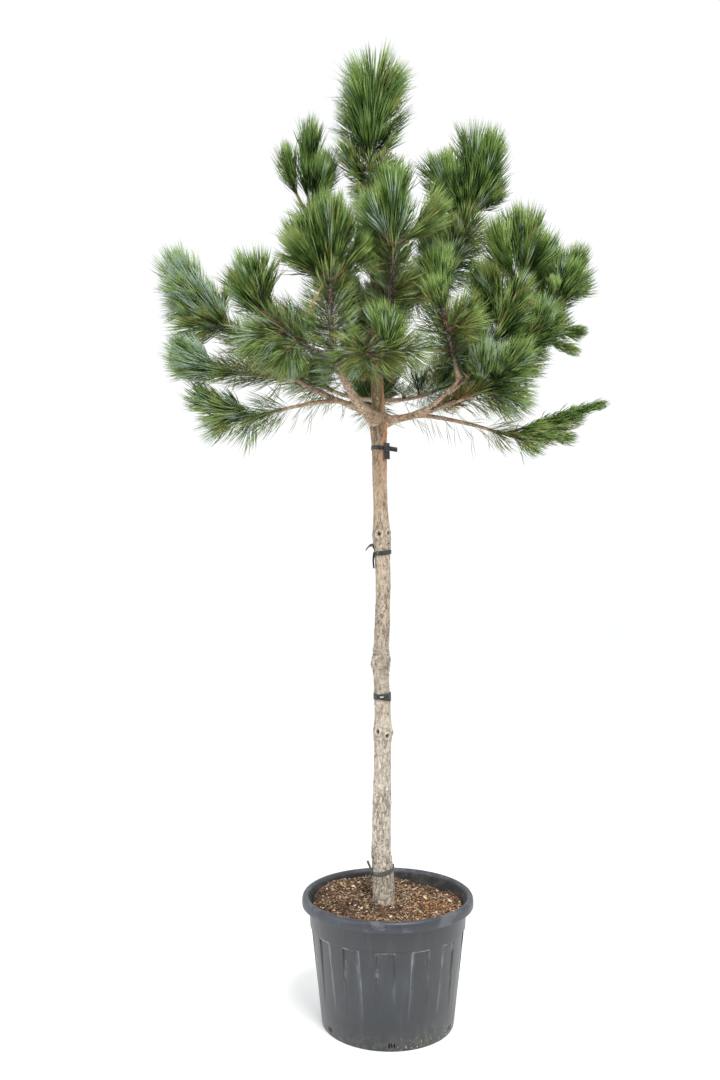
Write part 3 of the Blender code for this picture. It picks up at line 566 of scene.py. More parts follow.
# %% Finer shoot table
FINER = (
    ("top_left", 0.65, 0.185, 180, 66, 10, 11, 0.40, 0.88, 0.00, "top"),
    ("top_left", 0.67, 0.11, 324, 61, 17, 18, 0.15, 0.90, 0.00, "top"),
    ("top_left", 0.71, 0.15, 60, 60, 15, 16, 0.20, 0.90, 0.00, "deep"),
    ("top_right", 0.69, 0.17, 195, 55, 29, 31, 0.10, 0.95, 0.00, "top"),
    ("top_right", 0.70, 0.22, 340, 68, 24, 25, 0.15, 0.95, 0.00, "top"),
    ("top_right", 0.71, 0.11, 0, 39, 20, 22, 0.25, 0.72, 0.00, "deep"),
    ("top_right", 0.68, 0.16, 107, 58, 28, 29, 0.10, 0.95, 0.00, "deep"),
    ("front", 0.72, 0.14, 352, 37, 18, 20, 0.12, 0.86, 0.00, "light"),
    ("front", 0.72, 0.10, 195, 52, 22, 24, 0.10, 0.90, 0.00, "cool"),
    ("front", 0.75, 0.15, 98, 58, 24, 25, 0.10, 0.95, 0.00, "fresh"),
    ("left_front", 0.75, 0.12, 201, 36, 20, 22, 0.15, 0.90, 0.00, "deep"),
    ("left_front", 0.75, 0.12, 334, 38, 16, 18, 0.30, 0.78, 0.00, "light"),
    ("left_front", 0.78, 0.15, 35, 76, 18, 20, 0.15, 0.95, 0.00, "fresh"),
    ("left_front", 0.79, 0.16, 148, 68, 17, 18, 0.15, 0.92, 0.00, "fresh"),
    ("left_front", 0.76, 0.19, 155, 53, 18, 20, 0.20, 0.88, 0.00, "light"),
    ("front_outer", 0.72, 0.11, 180, 58, 31, 33, 0.10, 0.85, 0.00, "deep"),
    ("front_outer", 0.50, 0.09, 200, -17, 52, 30, 0.00, 0.95, 0.25, "soft"),
    ("front_outer", 0.36, 0.07, 217, -43, 56, 34, 0.00, 0.95, 0.35, "soft"),
    ("left", 0.81, 0.20, 167, 49, 24, 25, 0.10, 0.95, 0.00, "blue"),
    ("left", 0.86, 0.10, 198, 23, 28, 29, 0.10, 0.72, 0.00, "blue"),
    ("left", 0.83, 0.10, 168, 10, 31, 33, 0.10, 0.70, 0.05, "old"),
    ("left", 0.71, 0.12, 180, 8, 40, 24, 0.10, 0.85, 0.15, "old"),
    ("left", 0.69, 0.12, 143, 57, 22, 24, 0.15, 0.80, 0.00, "deep"),
    ("left_outer", 0.93, 0.06, 180, 34, 26, 27, 0.10, 0.62, 0.00, "blue"),
    ("left_outer", 0.79, 0.08, 180, -0, 24, 25, 0.10, 0.68, 0.05, "soft"),
    ("left_low", 0.93, 0.06, 180, 34, 28, 29, 0.00, 0.75, 0.00, "deep"),
    ("left_low", 0.75, 0.08, 195, -17, 31, 33, 0.10, 0.80, 0.15, "soft"),
    ("left_low", 0.66, 0.03, 180, -35, 60, 40, 0.00, 0.85, 0.60, "soft"),
    ("front_inner", 0.55, 0.08, 180, 9, 50, 35, 0.00, 0.75, 0.30, "old"),
    ("front_inner", 0.71, 0.08, 0, 8, 50, 35, 0.00, 0.75, 0.30, "old"),
    ("right_front", 0.59, 0.06, 248, 32, 22, 24, 0.00, 0.68, 0.00, "light"),
    ("right_front", 0.76, 0.07, 135, 66, 24, 25, 0.10, 0.78, 0.00, "light"),
    ("right_front", 0.43, 0.07, 0, 40, 44, 30, 0.00, 0.85, 0.10, "old"),
    ("right_up", 0.71, 0.15, 212, 58, 17, 20, 0.10, 0.90, 0.00, "light"),
    ("right_up", 0.80, 0.13, 150, 82, 18, 24, 0.10, 0.92, 0.00, "top"),
    ("right_up", 0.48, 0.15, 186, 66, 26, 28, 0.00, 0.90, 0.00, "deep"),
    ("right_up", 0.24, 0.14, 185, 52, 28, 30, 0.00, 0.90, 0.00, "deep"),
    ("right_up", 0.16, 0.12, 200, 72, 28, 30, 0.00, 0.90, 0.00, "deep"),
    ("right_up", 0.74, 0.11, 0, 53, 20, 22, 0.15, 0.85, 0.00, "deep"),
    ("right_up", 0.58, 0.09, 202, 51, 22, 24, 0.10, 0.85, 0.00, "deep"),
    ("right_up", 0.48, 0.10, 149, 56, 24, 25, 0.10, 0.85, 0.00, "deep"),
    ("right_up", 0.38, 0.12, 15, 60, 28, 29, 0.00, 0.90, 0.00, "deep"),
    ("right_up", 0.30, 0.11, 200, 62, 28, 29, 0.00, 0.85, 0.00, "deep"),
    ("right_edge", 0.74, 0.08, 263, 34, 13, 14, 0.00, 0.48, 0.00, "light"),
    ("right_edge", 0.88, 0.09, 0, 56, 24, 25, 0.10, 0.80, 0.00, "deep"),
    ("right_edge", 0.80, 0.08, 0, 32, 28, 29, 0.10, 0.75, 0.00, "deep"),
    ("right_edge", 0.79, 0.15, 121, 81, 20, 22, 0.15, 0.85, 0.00, "top"),
    ("right_outer", 0.50, 0.12, 75, 62, 28, 29, 0.00, 0.90, 0.00, "deep"),
    ("right_outer", 0.70, 0.11, 330, 55, 24, 25, 0.10, 0.65, 0.00, "fresh"),
    ("right_outer", 0.93, 0.09, 0, 1, 15, 16, 0.20, 0.45, 0.00, "fresh"),
    ("right_outer", 0.85, 0.09, 0, -23, 13, 14, 0.20, 0.45, 0.00, "soft"),
    ("right", 0.36, 0.13, 10, 28, 22, 16, 0.05, 0.50, 0.00, "dead"),
    ("right", 0.50, 0.10, 350, 36, 22, 16, 0.05, 0.50, 0.00, "dead"),
    ("right", 0.79, 0.06, 292, 59, 26, 27, 0.10, 0.75, 0.00, "blue"),
    ("right", 0.69, 0.10, 0, -5, 42, 26, 0.00, 0.90, 0.45, "soft"),
    ("right_low", 0.57, 0.345, 0, 17, 12, 12, 0.22, 0.46, 0.00, "fresh"),
    ("right_low", 0.64, 0.17, 0, -4, 13, 14, 0.20, 0.48, 0.00, "light"),
    ("right_low", 0.59, 0.08, 343, -27, 22, 24, 0.10, 0.58, 0.00, "soft"),
    ("right_low", 0.61, 0.09, 340, 7, 18, 20, 0.10, 0.50, 0.00, "light"),
    ("back_right", 0.22, 0.02, 0, 85, 62, 30, 0.00, 0.45, 0.00, "soft"),
)
limb_of = {row[0]: row[1] for row in MASSES}
for mass, start, length, bearing, lift, *brush_row in FINER:
    whole = np.concatenate((lines[limb_of[mass]], growth[mass][0][1:]))
    foot, _ = sample(whole, [start])
    step = unit(bearing, lift) * length
    climb = min(max((lift - 20) / 30, 0.0), 1.0)
    control = foot[0] + step * (0.5 + climb * np.array([0.28, 0.28, -0.18]))
    growth[mass].append(bend(foot[0], control, foot[0] + step, 12))
    brushes[mass].append(tuple(brush_row))
print("shoots in all:", sum(len(group) for group in growth.values()))

# %% [markdown]
# ## Tubes with relief
#
# A tube is a grid: rings along a path and corners round each ring. Its ends close on a
# pole point. The relief is a function of the ring and the corner, so that bark plates or
# leaf scars stand out of it.

# %% The tube
def ring_frames(path):
    """Two unit vectors square to the path at each of its points, without twist."""
    ways = norm(np.gradient(path, axis=0))
    chord = norm(path[-1] - path[0])
    across = np.cross(chord, [0, 0, 1.0])
    if np.linalg.norm(across) < 0.2:
        across = np.array([1.0, 0, 0])
    upper = norm(np.cross(ways, norm(across)))
    return np.cross(upper, ways), upper, ways


def tube_grid(path, radii, sides):
    """Points: path + radius * (cos a * level + sin a * upper), with a pole at each end."""
    level, upper, ways = ring_frames(path)
    turn = np.linspace(0, 2 * np.pi, sides, endpoint=False)
    radii = np.broadcast_to(radii, (sides, len(path))).T if np.ndim(radii) == 1 else radii
    rings = (path[:, None] + radii[:, :, None] * (np.cos(turn)[None, :, None] * level[:, None]
             + np.sin(turn)[None, :, None] * upper[:, None]))
    return np.concatenate((rings.reshape(-1, 3), path[:1], path[-1:]))


def tube_faces(count, sides, start=0):
    """Quads between neighbouring rings, and triangles to the two poles."""
    i, j = np.meshgrid(np.arange(count - 1), np.arange(sides), indexing="ij")
    k = (j + 1) % sides
    quads = np.stack((i * sides + j, i * sides + k, (i + 1) * sides + k, (i + 1) * sides + j), axis=-1)
    j = np.arange(sides)
    k = (j + 1) % sides
    foot = np.stack((k, j, np.full(sides, count * sides)), axis=-1)
    last = (count - 1) * sides
    top = np.stack((last + j, last + k, np.full(sides, count * sides + 1)), axis=-1)
    return quads.reshape(-1, 4) + start, np.concatenate((foot, top)) + start


def join(parts):
    """Stacks (points, quads, triangles) triples into one."""
    points, quads, triangles, start = [], [], [], 0
    for p, q, t in parts:
        points.append(p)
        quads.append(q + start)
        triangles.append(t + start)
        start += len(p)
    return np.concatenate(points), [np.concatenate(quads), np.concatenate(triangles)]


print("tube tools ready")

# %% [markdown]
# ## Bark
#
# Bark breaks into plates with dark gaps between them. A jittered lattice gives that: each
# point of the surface belongs to the nearest of the scattered spots, and a gap runs where
# the two nearest are equally far. The same numbers raise the mesh and tint the material,
# through two attributes, so that colour and relief agree.

# %% Plates
def plates(u, v, across, along, seed):
    """Gap width (second nearest spot less nearest) and the nearest spot's own number."""
    rng = np.random.default_rng(seed)
    spots = rng.uniform(0.08, 0.92, (across, along + 4, 2))
    number = rng.uniform(0, 1, (across, along + 4))
    x, y = np.mod(u, 1.0) * across, np.clip(v, 0.0, 1.0) * along + 1
    i, j = np.floor(x).astype(int), np.floor(y).astype(int)
    nearest, second = np.full(x.shape, 9.0), np.full(x.shape, 9.0)
    own = np.zeros(x.shape)
    for di in (-1, 0, 1):
        for dj in (-1, 0, 1):
            a, b = (i + di) % across, j + dj
            away = np.hypot(i + di + spots[a, b, 0] - x, j + dj + spots[a, b, 1] - y)
            nearer = away < nearest
            second = np.where(nearer, nearest, np.minimum(second, away))
            own = np.where(nearer, number[a, b], own)
            nearest = np.minimum(nearest, away)
    return second - nearest, own


def mark(mesh, **layers):
    """One value a point, kept as a float attribute of the mesh."""
    for label, values in layers.items():
        layer = mesh.attributes.new(label, "FLOAT", "POINT")
        full = np.zeros(len(mesh.vertices), np.float32)
        full[:values.size] = np.ravel(values)
        layer.data.foreach_set("value", full)


# %% Bark finishes
def bark_finish(name, tone, rough_part, size, stretch):
    """A tone by place, with flakes, specks, thin winding cracks and grain, and near-black painted shade in the
    pits.
    """
    finish = Finish(name, (0.45, 0.36, 0.27), 0.9)
    gap = finish.node("ShaderNodeAttribute", {"attribute_name": "gap"}, output="Fac")
    pit = finish.node("ShaderNodeAttribute", {"attribute_name": "pit"}, output="Fac")
    plate = finish.node("ShaderNodeAttribute", {"attribute_name": "plate"}, output="Fac")
    flake, rim = finish.cells(finish.warped(26, 0.030, stretch), 120 * size)
    speck = finish.noise(120 * size, detail=6, stretch=stretch, rough=0.80)
    long_way = (stretch[0], stretch[1], stretch[2] * 0.6)
    winding = finish.noise(36 * size, detail=4, stretch=long_way, rough=0.6)
    fine_winding = finish.noise(90 * size, detail=3, stretch=long_way, rough=0.6)
    place_noise = finish.noise(11, detail=2)
    grain = finish.noise(380, detail=3, rough=0.7)
    base = tone(finish)
    rough = rough_part(finish)
    light = finish.mix(0.40, base, (0.900, 0.850, 0.780))
    dark = finish.mix(0.88, base, (0.040, 0.028, 0.020))
    shade = finish.mix(plate.between(0.45, 0.80) * 0.40, base, light)
    shade = finish.mix((1 - plate.between(0.10, 0.40)) * 0.18, shade, dark)
    shade = finish.mix(flake.between(0.50, 0.75) * rough * 0.75, shade, light)
    shade = finish.mix((1 - flake.between(0.30, 0.42)) * rough * 0.50, shade, dark)
    shade = finish.mix(speck.between(0.535, 0.60) * (place_noise * 0.6 + 0.50), shade, dark)
    shade = finish.mix((1 - speck.between(0.33, 0.42)) * 0.5, shade, light)
    crack = winding.line(0.020) * place_noise.between(0.40, 0.55)
    shade = finish.mix(crack * 0.75, shade, dark)
    shade = finish.mix(fine_winding.line(0.018) * 0.55, shade, dark)
    shade = finish.mix(gap * (rough * 0.45 + 0.30), shade, dark)
    shade = finish.mix(grain.between(0.52, 0.64) * 0.22, shade, dark)
    # Painted shade: the pits of the old branch eyes are tinted near-black.
    shade = finish.mix(pit, shade, (0.018, 0.012, 0.009))
    finish.feed("Base Color", shade)
    finish.bump(rim.between(0.0, 0.15) * rough + grain * 0.3 - crack - speck * 0.4, 0.6, 0.003)
    return finish


def height_of(finish):
    return finish.node("ShaderNodeSeparateXYZ", output="Z", Vector=finish.place())


def trunk_tones(finish):
    """Grey at the foot, tan higher up, dark olive above the first whorl, and a painted orange highlight down
    its right side from about 1.9 m to 2.35 m.
    """
    height = height_of(finish)
    tone = finish.node("ShaderNodeValToRGB", {"stops": (
        (0.00, (0.540, 0.470, 0.380)), (0.14, (0.640, 0.560, 0.465)),
        (0.30, (0.450, 0.380, 0.300)), (0.50, (0.420, 0.325, 0.225)),
        (0.570, (0.420, 0.285, 0.180)), (0.612, (0.380, 0.235, 0.140)),
        (0.638, (0.205, 0.140, 0.062)), (0.700, (0.240, 0.165, 0.062)),
        (0.735, (0.350, 0.180, 0.076)), (0.790, (0.250, 0.130, 0.062)),
        (0.860, (0.130, 0.090, 0.050)), (1.000, (0.120, 0.092, 0.052)))},
        Fac=(height - 0.39) * (1 / 2.65))
    sideways = finish.node("ShaderNodeSeparateXYZ", output="X", Vector=finish.place())
    # Painted highlight: the right side of the trunk is tinted a lit orange from about 1.9 m to 2.35 m.
    right = sideways.between(-0.021, -0.011) * height.between(1.86, 2.02)
    tone = finish.mix(right * (1 - height.between(2.33, 2.36)) * 0.9, tone, (0.540, 0.235, 0.085))
    stain = finish.noise(7, detail=3, stretch=(1, 1, 0.4)).between(0.45, 0.65)
    return finish.mix(stain * 0.35, tone, finish.mix(0.5, tone, (0.235, 0.215, 0.180)))


def bough_tones(finish):
    """Light tan near the trunk; near-black red-brown higher in the crown, partly the younger wood's tone and
    partly painted shade from the needles.
    """
    shade = finish.noise(13, detail=3).between(0.35, 0.65)
    # Painted shade: above about 2.3 m, the wood under the needles is tinted near-black.
    young_and_shaded = height_of(finish).between(2.24, 2.31)
    return finish.mix(young_and_shaded, finish.mix(shade, (0.430, 0.270, 0.160), (0.640, 0.440, 0.280)),
                      finish.mix(shade, (0.026, 0.018, 0.014), (0.085, 0.055, 0.039)))


bark = bark_finish("trunk_bark", trunk_tones,
                   lambda finish: 0.85 - height_of(finish).between(0.60, 1.05) * 0.50,
                   1.0, (1, 1, 0.36))
bough_bark = bark_finish("bough_bark", bough_tones, lambda finish: finish.noise(9) * 0.4 + 0.4,
                         1.1, (1, 1, 1))
twig_bark = Finish("twig_bark", (0.16, 0.095, 0.060), 0.85)
grain = twig_bark.noise(160, detail=3)
twig_bark.feed("Base Color", twig_bark.mix(grain.between(0.40, 0.62), (0.048, 0.030, 0.021),
                                           (0.170, 0.106, 0.070)))
twig_bark.bump(grain, 0.5, 0.002)
bud_scales = Finish("bud_scales", (0.30, 0.21, 0.14), 0.6)
flecks = bud_scales.noise(420, detail=2)
bud_scales.feed("Base Color", bud_scales.mix(flecks.between(0.40, 0.60), (0.190, 0.110, 0.065),
                                             (0.420, 0.360, 0.280)))
print("bark finishes ready")

# %% Trunk mesh
TRUNK_SIDES = 96
TRUNK_STEPS = 1000
EYES = (
    (0.997, 237, 0.010), (0.983, 297, 0.010), (0.995, 20, 0.012), (0.985, 120, 0.012),
    (1.236, 196, 0.013), (1.240, 60, 0.013), (1.694, 252, 0.011), (1.697, 318, 0.010),
    (1.690, 140, 0.012), (1.680, 40, 0.011),
)
SCARS = ((0.990, 0.026, 0.9), (1.245, 0.036, 2.2), (1.690, 0.026, 0.9))
heights = np.concatenate((np.linspace(TRUNK_FOOT, 2.15, TRUNK_STEPS - 180, endpoint=False),
                          np.linspace(2.15, TRUNK_TIP, 180)))
turns = np.linspace(0, 2 * np.pi, TRUNK_SIDES, endpoint=False)
u = np.broadcast_to(turns / (2 * np.pi), (TRUNK_STEPS, TRUNK_SIDES))
v = np.broadcast_to(((heights - TRUNK_FOOT) / (TRUNK_TIP - TRUNK_FOOT))[:, None], u.shape)
sway = 0.042 * lattice_noise(u, v, 9, 110, 7)
rise = 0.0075 * lattice_noise(u, v, 12, 80, 8)
wide, wide_own = plates(u + sway, v + rise, 9, 80, 11)
small, small_own = plates(u - sway, v + rise, 24, 230, 12)
age = np.clip((2.1 - heights) / 1.0, 0.25, 1.0)[:, None]
gap_wide = np.clip(1 - wide / 0.20, 0, 1) * age
gap_small = np.clip(1 - small / 0.24, 0, 1) * np.clip(small_own * 1.8, 0.2, 1)
radius = np.broadcast_to(trunk_radius(heights)[:, None], u.shape).copy()
radius += 0.0016 * lattice_noise(u, v, 5, 30, 6) + 0.0016 * (wide_own - 0.5) * age
radius += 0.0012 * (small_own - 0.5) - 0.0026 * gap_wide - 0.0008 * gap_small
rim, pit, ring = np.zeros_like(radius), np.zeros_like(radius), np.zeros_like(radius)
for eye_height, bearing, size in EYES:
    girth = float(trunk_radius(eye_height))
    sideways = np.angle(np.exp(1j * (turns - math.radians(bearing))))[None, :] * girth
    away = np.hypot(sideways, (heights - eye_height)[:, None] * 0.85)
    rim = np.maximum(rim, np.exp(-((away - size) / (size * 0.45)) ** 2))
    ring = np.maximum(ring, np.exp(-((away - 1.55 * size) / (0.20 * size)) ** 2))
    pit = np.maximum(pit, np.exp(-(away / (size * 0.60)) ** 4))
scar = sum(share * np.exp(-((heights[:, None] - middle) / spread) ** 2)
           for middle, spread, share in SCARS)
rough_scar = scar * lattice_noise(u, v, 14, 380, 9)
radius += 0.0034 * rim - 0.0040 * pit + 0.0017 * rough_scar
points = tube_grid(trunk_points(heights), radius, TRUNK_SIDES)
mesh = build_mesh("trunk_bark", points, tube_faces(TRUNK_STEPS, TRUNK_SIDES))
gap = np.maximum(gap_wide * 0.5, 0.14 * gap_small) + 1.5 * np.clip(-rough_scar, 0, 1) + ring
mark(mesh, gap=np.clip(gap - rim * 0.8, 0, 1), pit=pit,
     plate=np.clip(0.5 * small_own + 0.4 * wide_own + 0.8 * rim, 0, 1))
add_piece(mesh, [bark.material], ["trunk"])
trunk_skin = radius
print("trunk faces:", len(mesh.polygons))

# %% Bough meshes
def limb_skin(path, radii, sides, seed, scale=0.009, step=0.0028):
    """Rings with a collar at the root, and small scales that overlap like shingles.

    The radius is the taper, plus 0.45 of the root's radius in the collar, plus the scales,
    each raised by its own number and parted from its neighbours by a gap."""
    run = lengths_along(path)
    steps = max(12, int(run[-1] / step))
    at = np.linspace(0, run[-1], steps)
    fine = np.stack([np.interp(at, run, path[:, k]) for k in range(3)], axis=-1)
    base = np.interp(at, run, radii)[:, None]
    turn = np.linspace(0, 2 * np.pi, sides, endpoint=False)[None, :]
    u = np.broadcast_to(turn / (2 * np.pi), (steps, sides))
    v = np.broadcast_to((at / run[-1])[:, None], (steps, sides))
    across = max(3, round(2 * math.pi * float(base.mean()) / scale))
    between, own = plates(u + 0.04 * np.sin(v * 40), v, across, max(4, int(run[-1] / scale)), seed)
    gap = np.clip(1 - between / 0.22, 0, 1)
    collar = 0.50 * base[0] * np.exp(-((at[:, None] - base[0]) / (2.2 * base[0])) ** 2)
    depth = np.minimum(0.0022, 0.14 * base)
    skin = base + collar + depth * (own - 0.5 - 0.8 * gap)
    skin = skin + 0.05 * base * lattice_noise(u, v, 4, max(4, steps // 14), seed)
    return tube_grid(fine, skin, sides), *tube_faces(steps, sides), gap, own


for number, row in enumerate(LIMBS):
    name = row[0]
    points, quads, triangles, gap, own = limb_skin(lines[name], radii[name], 20, 50 + number)
    mesh = build_mesh(f"{name}_bark", points, [quads, triangles])
    mark(mesh, gap=gap, plate=own)
    add_piece(mesh, [bough_bark.material], [name])
print("bough pieces:", len(LIMBS))

# %% [markdown]
# ## Needles
#
# The needles stand in pairs that wind round the shoot by the golden turn. They stand out
# along a shoot and close up only at its tip, and those of the side shoots also turn the
# way their whorl grows. Each is a slim closed spindle with a slight bow. Needles that stand
# close together lean together in tufts. Seven plain colours are dealt out tuft by tuft,
# lighter ones towards a shoot's tip for its paler new growth and as painted light, and
# the outer half of most needles takes a lighter colour as a painted highlight.

# %% Needle finishes
NEEDLE_COLOURS = {
    "blue": (0.295, 0.400, 0.280),
    "fresh": (0.070, 0.135, 0.024),
    "light": (0.135, 0.220, 0.045),
    "pale": (0.240, 0.330, 0.100),
    "deep": (0.022, 0.048, 0.010),
    "olive": (0.225, 0.232, 0.060),
    "straw": (0.400, 0.260, 0.100),
}
NEEDLE_NAMES = list(NEEDLE_COLOURS)
STRAW = NEEDLE_NAMES.index("straw")
needle_finishes = [Finish(f"needles_{key}", colour, 0.50, Specular_IOR_Level=0.22).material
                   for key, colour in NEEDLE_COLOURS.items()]
TONES = {
    "leader": (0.02, 0.46, 0.12, 0.02, 0.37, 0.010, 0.000),
    "top": (0.05, 0.48, 0.12, 0.03, 0.31, 0.010, 0.000),
    "fresh": (0.05, 0.42, 0.20, 0.06, 0.24, 0.030, 0.000),
    "light": (0.02, 0.30, 0.34, 0.14, 0.13, 0.070, 0.000),
    "cool": (0.26, 0.24, 0.16, 0.14, 0.17, 0.030, 0.000),
    "deep": (0.07, 0.36, 0.12, 0.05, 0.31, 0.090, 0.000),
    "blue": (0.62, 0.08, 0.06, 0.18, 0.04, 0.020, 0.000),
    "soft": (0.22, 0.09, 0.20, 0.33, 0.02, 0.140, 0.000),
    "old": (0.13, 0.12, 0.16, 0.20, 0.10, 0.285, 0.005),
    "core": (0.04, 0.28, 0.06, 0.04, 0.36, 0.200, 0.020),
    "dead": (0.00, 0.00, 0.00, 0.00, 0.05, 0.250, 0.700),
}
# Lighter colours weigh more near a shoot's tip: partly its paler new growth, partly painted light.
TIP_SHARE = np.array([1.0, 1.0, 1.5, 1.7, 0.45, 1.0, 0.5])
# Painted highlight: the outer half of a needle takes the lighter colour given here, on this share of the
# needles.
HIGHLIGHT_COLOUR = np.array([0, 2, 3, 3, 1, 5, 6])
HIGHLIGHT_SHARE = 0.6
print("needle colours:", NEEDLE_NAMES)


# %% The needle
def spindles(roots, ways, lengths, widths, bows):
    """Per needle: a root point, three corners past its bowed middle, and a tip."""
    helper = np.where(np.abs(ways[:, 2:3]) < 0.9, [[0, 0, 1.0]], [[1.0, 0, 0]])
    side = norm(np.cross(ways, helper))
    upper = np.cross(side, ways)
    middle = roots + ways * (lengths * 0.62)[:, None] + bows
    tips = roots + ways * lengths[:, None]
    corners = []
    for k in range(3):
        turn = 2 * math.pi * k / 3
        ring = math.cos(turn) * upper + math.sin(turn) * side
        corners.append(middle + ring * (widths / 2)[:, None])
    points = np.stack((roots, *corners, tips), axis=1)
    pattern = np.array([(2, 1, 0), (3, 2, 0), (1, 3, 0), (1, 2, 4), (2, 3, 4), (3, 1, 4)])
    faces = pattern[None] + 5 * np.arange(len(roots))[:, None, None]
    return points.reshape(-1, 3), faces.reshape(-1, 3)


# %% The brush
NEEDLE = 0.160
GOLDEN = math.radians(137.508)
PAIR_OPENING = 0.06
TUFT_RISE = 0.016
TUFTS_ROUND = 7
TUFT_PULL = 0.60
TUFT_SPREAD = (0.13, 0.12, 0.09)


def brush(line, low, high, per_metre, lean, length, droop, gather, rng):
    """Roots, headings, lengths, bows, tuft numbers and shares of the needles on one shoot.

    Pair k stands at an even share of the length and k golden turns round it. Its lean from
    the shoot falls from the foot's to the tip's by share to a power, and at the very tip
    the needles fill the whole fan. Pairs that stand close together form a tuft: each is
    turned part of the way to the tuft's middle, and a tuft has a lean, turn and reach of its
    own. A droop takes a little from their rise, and gather is a vector that all of them
    turn towards."""
    run = lengths_along(line)[-1]
    pairs = max(8, int(run * (high - low) * per_metre))
    k = np.arange(pairs)
    t = ((k + rng.uniform(0, 1, pairs)) / pairs) ** 0.85
    roots, axis = sample(line, np.clip(low + (high - low) * t, 0, 1))
    chord = norm(line[-1] - line[0])
    helper = np.array([0, 0, 1.0]) if abs(chord[2]) < 0.9 else np.array([1.0, 0, 0])
    level = norm(np.cross(axis, helper))
    upper = np.cross(level, axis)
    roll = GOLDEN * k + rng.normal(0, 0.15, pairs)
    row = np.floor(t * run / TUFT_RISE)
    sector = (roll / (2 * np.pi) + 0.37 * row) % 1 * TUFTS_ROUND
    _, tuft = np.unique(row * TUFTS_ROUND + np.floor(sector), return_inverse=True)
    own_lean, own_turn, own_reach = rng.normal(0, TUFT_SPREAD, (tuft.max() + 1, 3))[tuft].T
    roll += own_turn - TUFT_PULL * (sector % 1 - 0.5) * 2 * np.pi / TUFTS_ROUND
    outward = np.cos(roll)[:, None] * level + np.sin(roll)[:, None] * upper
    foot_lean, tip_lean, power = lean
    leans = np.radians(foot_lean + (tip_lean - foot_lean) * t ** power)
    leans = leans * (1 - rng.uniform(0, 0.85, pairs) * t ** 6)
    leans = leans + own_lean + rng.normal(0, 0.06, pairs)
    leans = leans + (rng.random(pairs) < 0.10) * rng.normal(0, 0.32, pairs)
    ways = np.cos(leans)[:, None] * axis + np.sin(leans)[:, None] * outward
    ways[:, 2] -= droop * rng.uniform(0.3, 1.4, pairs)
    ways = norm(ways + gather)
    sideways = norm(np.cross(ways, outward + axis * 0.3))
    twins = np.concatenate((ways + sideways * PAIR_OPENING, ways - sideways * PAIR_OPENING))
    twins = norm(twins + rng.normal(0, 0.030, twins.shape))
    reach = length * np.interp(t, [0, 0.3, 0.75, 1], [0.85, 1.0, 1.0, 0.88])
    reach = reach * np.clip(1 + own_reach, 0.8, 1.12)
    reach = np.concatenate((reach, reach)) * rng.uniform(0.86, 1.04, 2 * pairs)
    bend_way = norm(outward + np.array([0, 0, 0.25 - droop]))
    bows = np.concatenate((bend_way, bend_way)) * rng.uniform(0.002, 0.012, 2 * pairs)[:, None]
    return (np.concatenate((roots, roots)), twins, reach, bows, np.concatenate((tuft, tuft)),
            np.concatenate((t, t)))


def keep_clear(roots, ways, reach, own, rivals):
    """True for needles that miss all wood and don't end deep in another mass."""
    clear = np.ones(len(roots), bool)
    for share in (0.35, 0.6, 0.8, 1.0):
        places = roots + ways * (reach * share)[:, None]
        clear &= (distance(places, wood_lines) > wood_radii + 0.002).all(axis=1)
    mine = distance(places, own).min(axis=1)
    theirs = distance(places, rivals).min(axis=1)
    return clear & (theirs > 0.28 * mine - 0.01)


def deal(tuft, shares, weights, rng):
    """One colour number for each tuft, drawn by weight; lighter ones towards the tip, partly as painted light.
    """
    ids, first, back = np.unique(tuft, return_index=True, return_inverse=True)
    weights = np.array(weights)
    foot = rng.choice(len(NEEDLE_NAMES), size=len(ids), p=weights / weights.sum())
    weights = weights * TIP_SHARE
    tip = rng.choice(len(NEEDLE_NAMES), size=len(ids), p=weights / weights.sum())
    return np.where(shares[first] > 0.55, tip, foot)[back]


print("brush ready")

# %% [markdown]
# ## Old needles and short side twigs
#
# Behind the new shoots each bough keeps its needles of the last two or three years. They
# are duller, thinner and hang a little. Short twigs also leave the bough there. Each row
# gives the share of a bough from which it is clad; further in, the bark is bare.

# %% Cladding
CLAD_FROM = {
    "upper_front": 0.22, "bough_left_front": 0.40, "bough_left": 0.42, "bough_left_low": 0.62,
    "bough_left_outer": 0.20, "bough_front_outer": 0.28, "bough_front_inner": 0.45,
    "bough_right": 0.80, "bough_right_low": 0.86, "bough_right_front": 0.28,
    "bough_right_up": 0.14, "bough_right_outer": 0.22, "bough_right_edge": 0.20,
}
CLAD_ELSEWHERE = 0.50
TWIG_SHARES = (0.52, 0.68, 0.84)


def side_twigs(limb, mass, dice):
    """Short shoots that leave a bough to either side and turn up."""
    found = []
    rivals = np.concatenate([stretches(s) for key in growth for s in growth[key] if key != mass])
    for k, share in enumerate(TWIG_SHARES):
        if share < CLAD_FROM.get(limb, CLAD_ELSEWHERE):
            continue
        foot, ahead = sample(lines[limb], [share])
        foot, ahead = foot[0], ahead[0]
        level = norm(np.cross(ahead, [0, 0, 1.0])) * (1 if k % 2 else -1)
        way = norm(ahead * 0.75 + level * 0.75 + np.array([0, 0, 0.35]))
        reach = dice.uniform(0.07, 0.11)
        end = foot + norm(way + np.array([0, 0, 0.3])) * reach
        shoot = bend(foot, foot + way * reach * 0.5, end, 8)
        places, _ = sample(shoot, (0.6, 0.8, 1.0))
        near = (distance(places, rivals) < TWIG_CLEARANCE).any()
        if not near and (distance(places, wood_lines) > wood_radii + 0.012).all():
            found.append(shoot)
    return found


twiglets = {}
for number, (mass, limb, *rest) in enumerate(MASSES):
    hidden = limb != "trunk" and mass.startswith(BACK)
    twiglets[mass] = side_twigs(limb, mass, random.Random(700 + number)) if hidden else []
print("short twigs:", sum(len(group) for group in twiglets.values()))

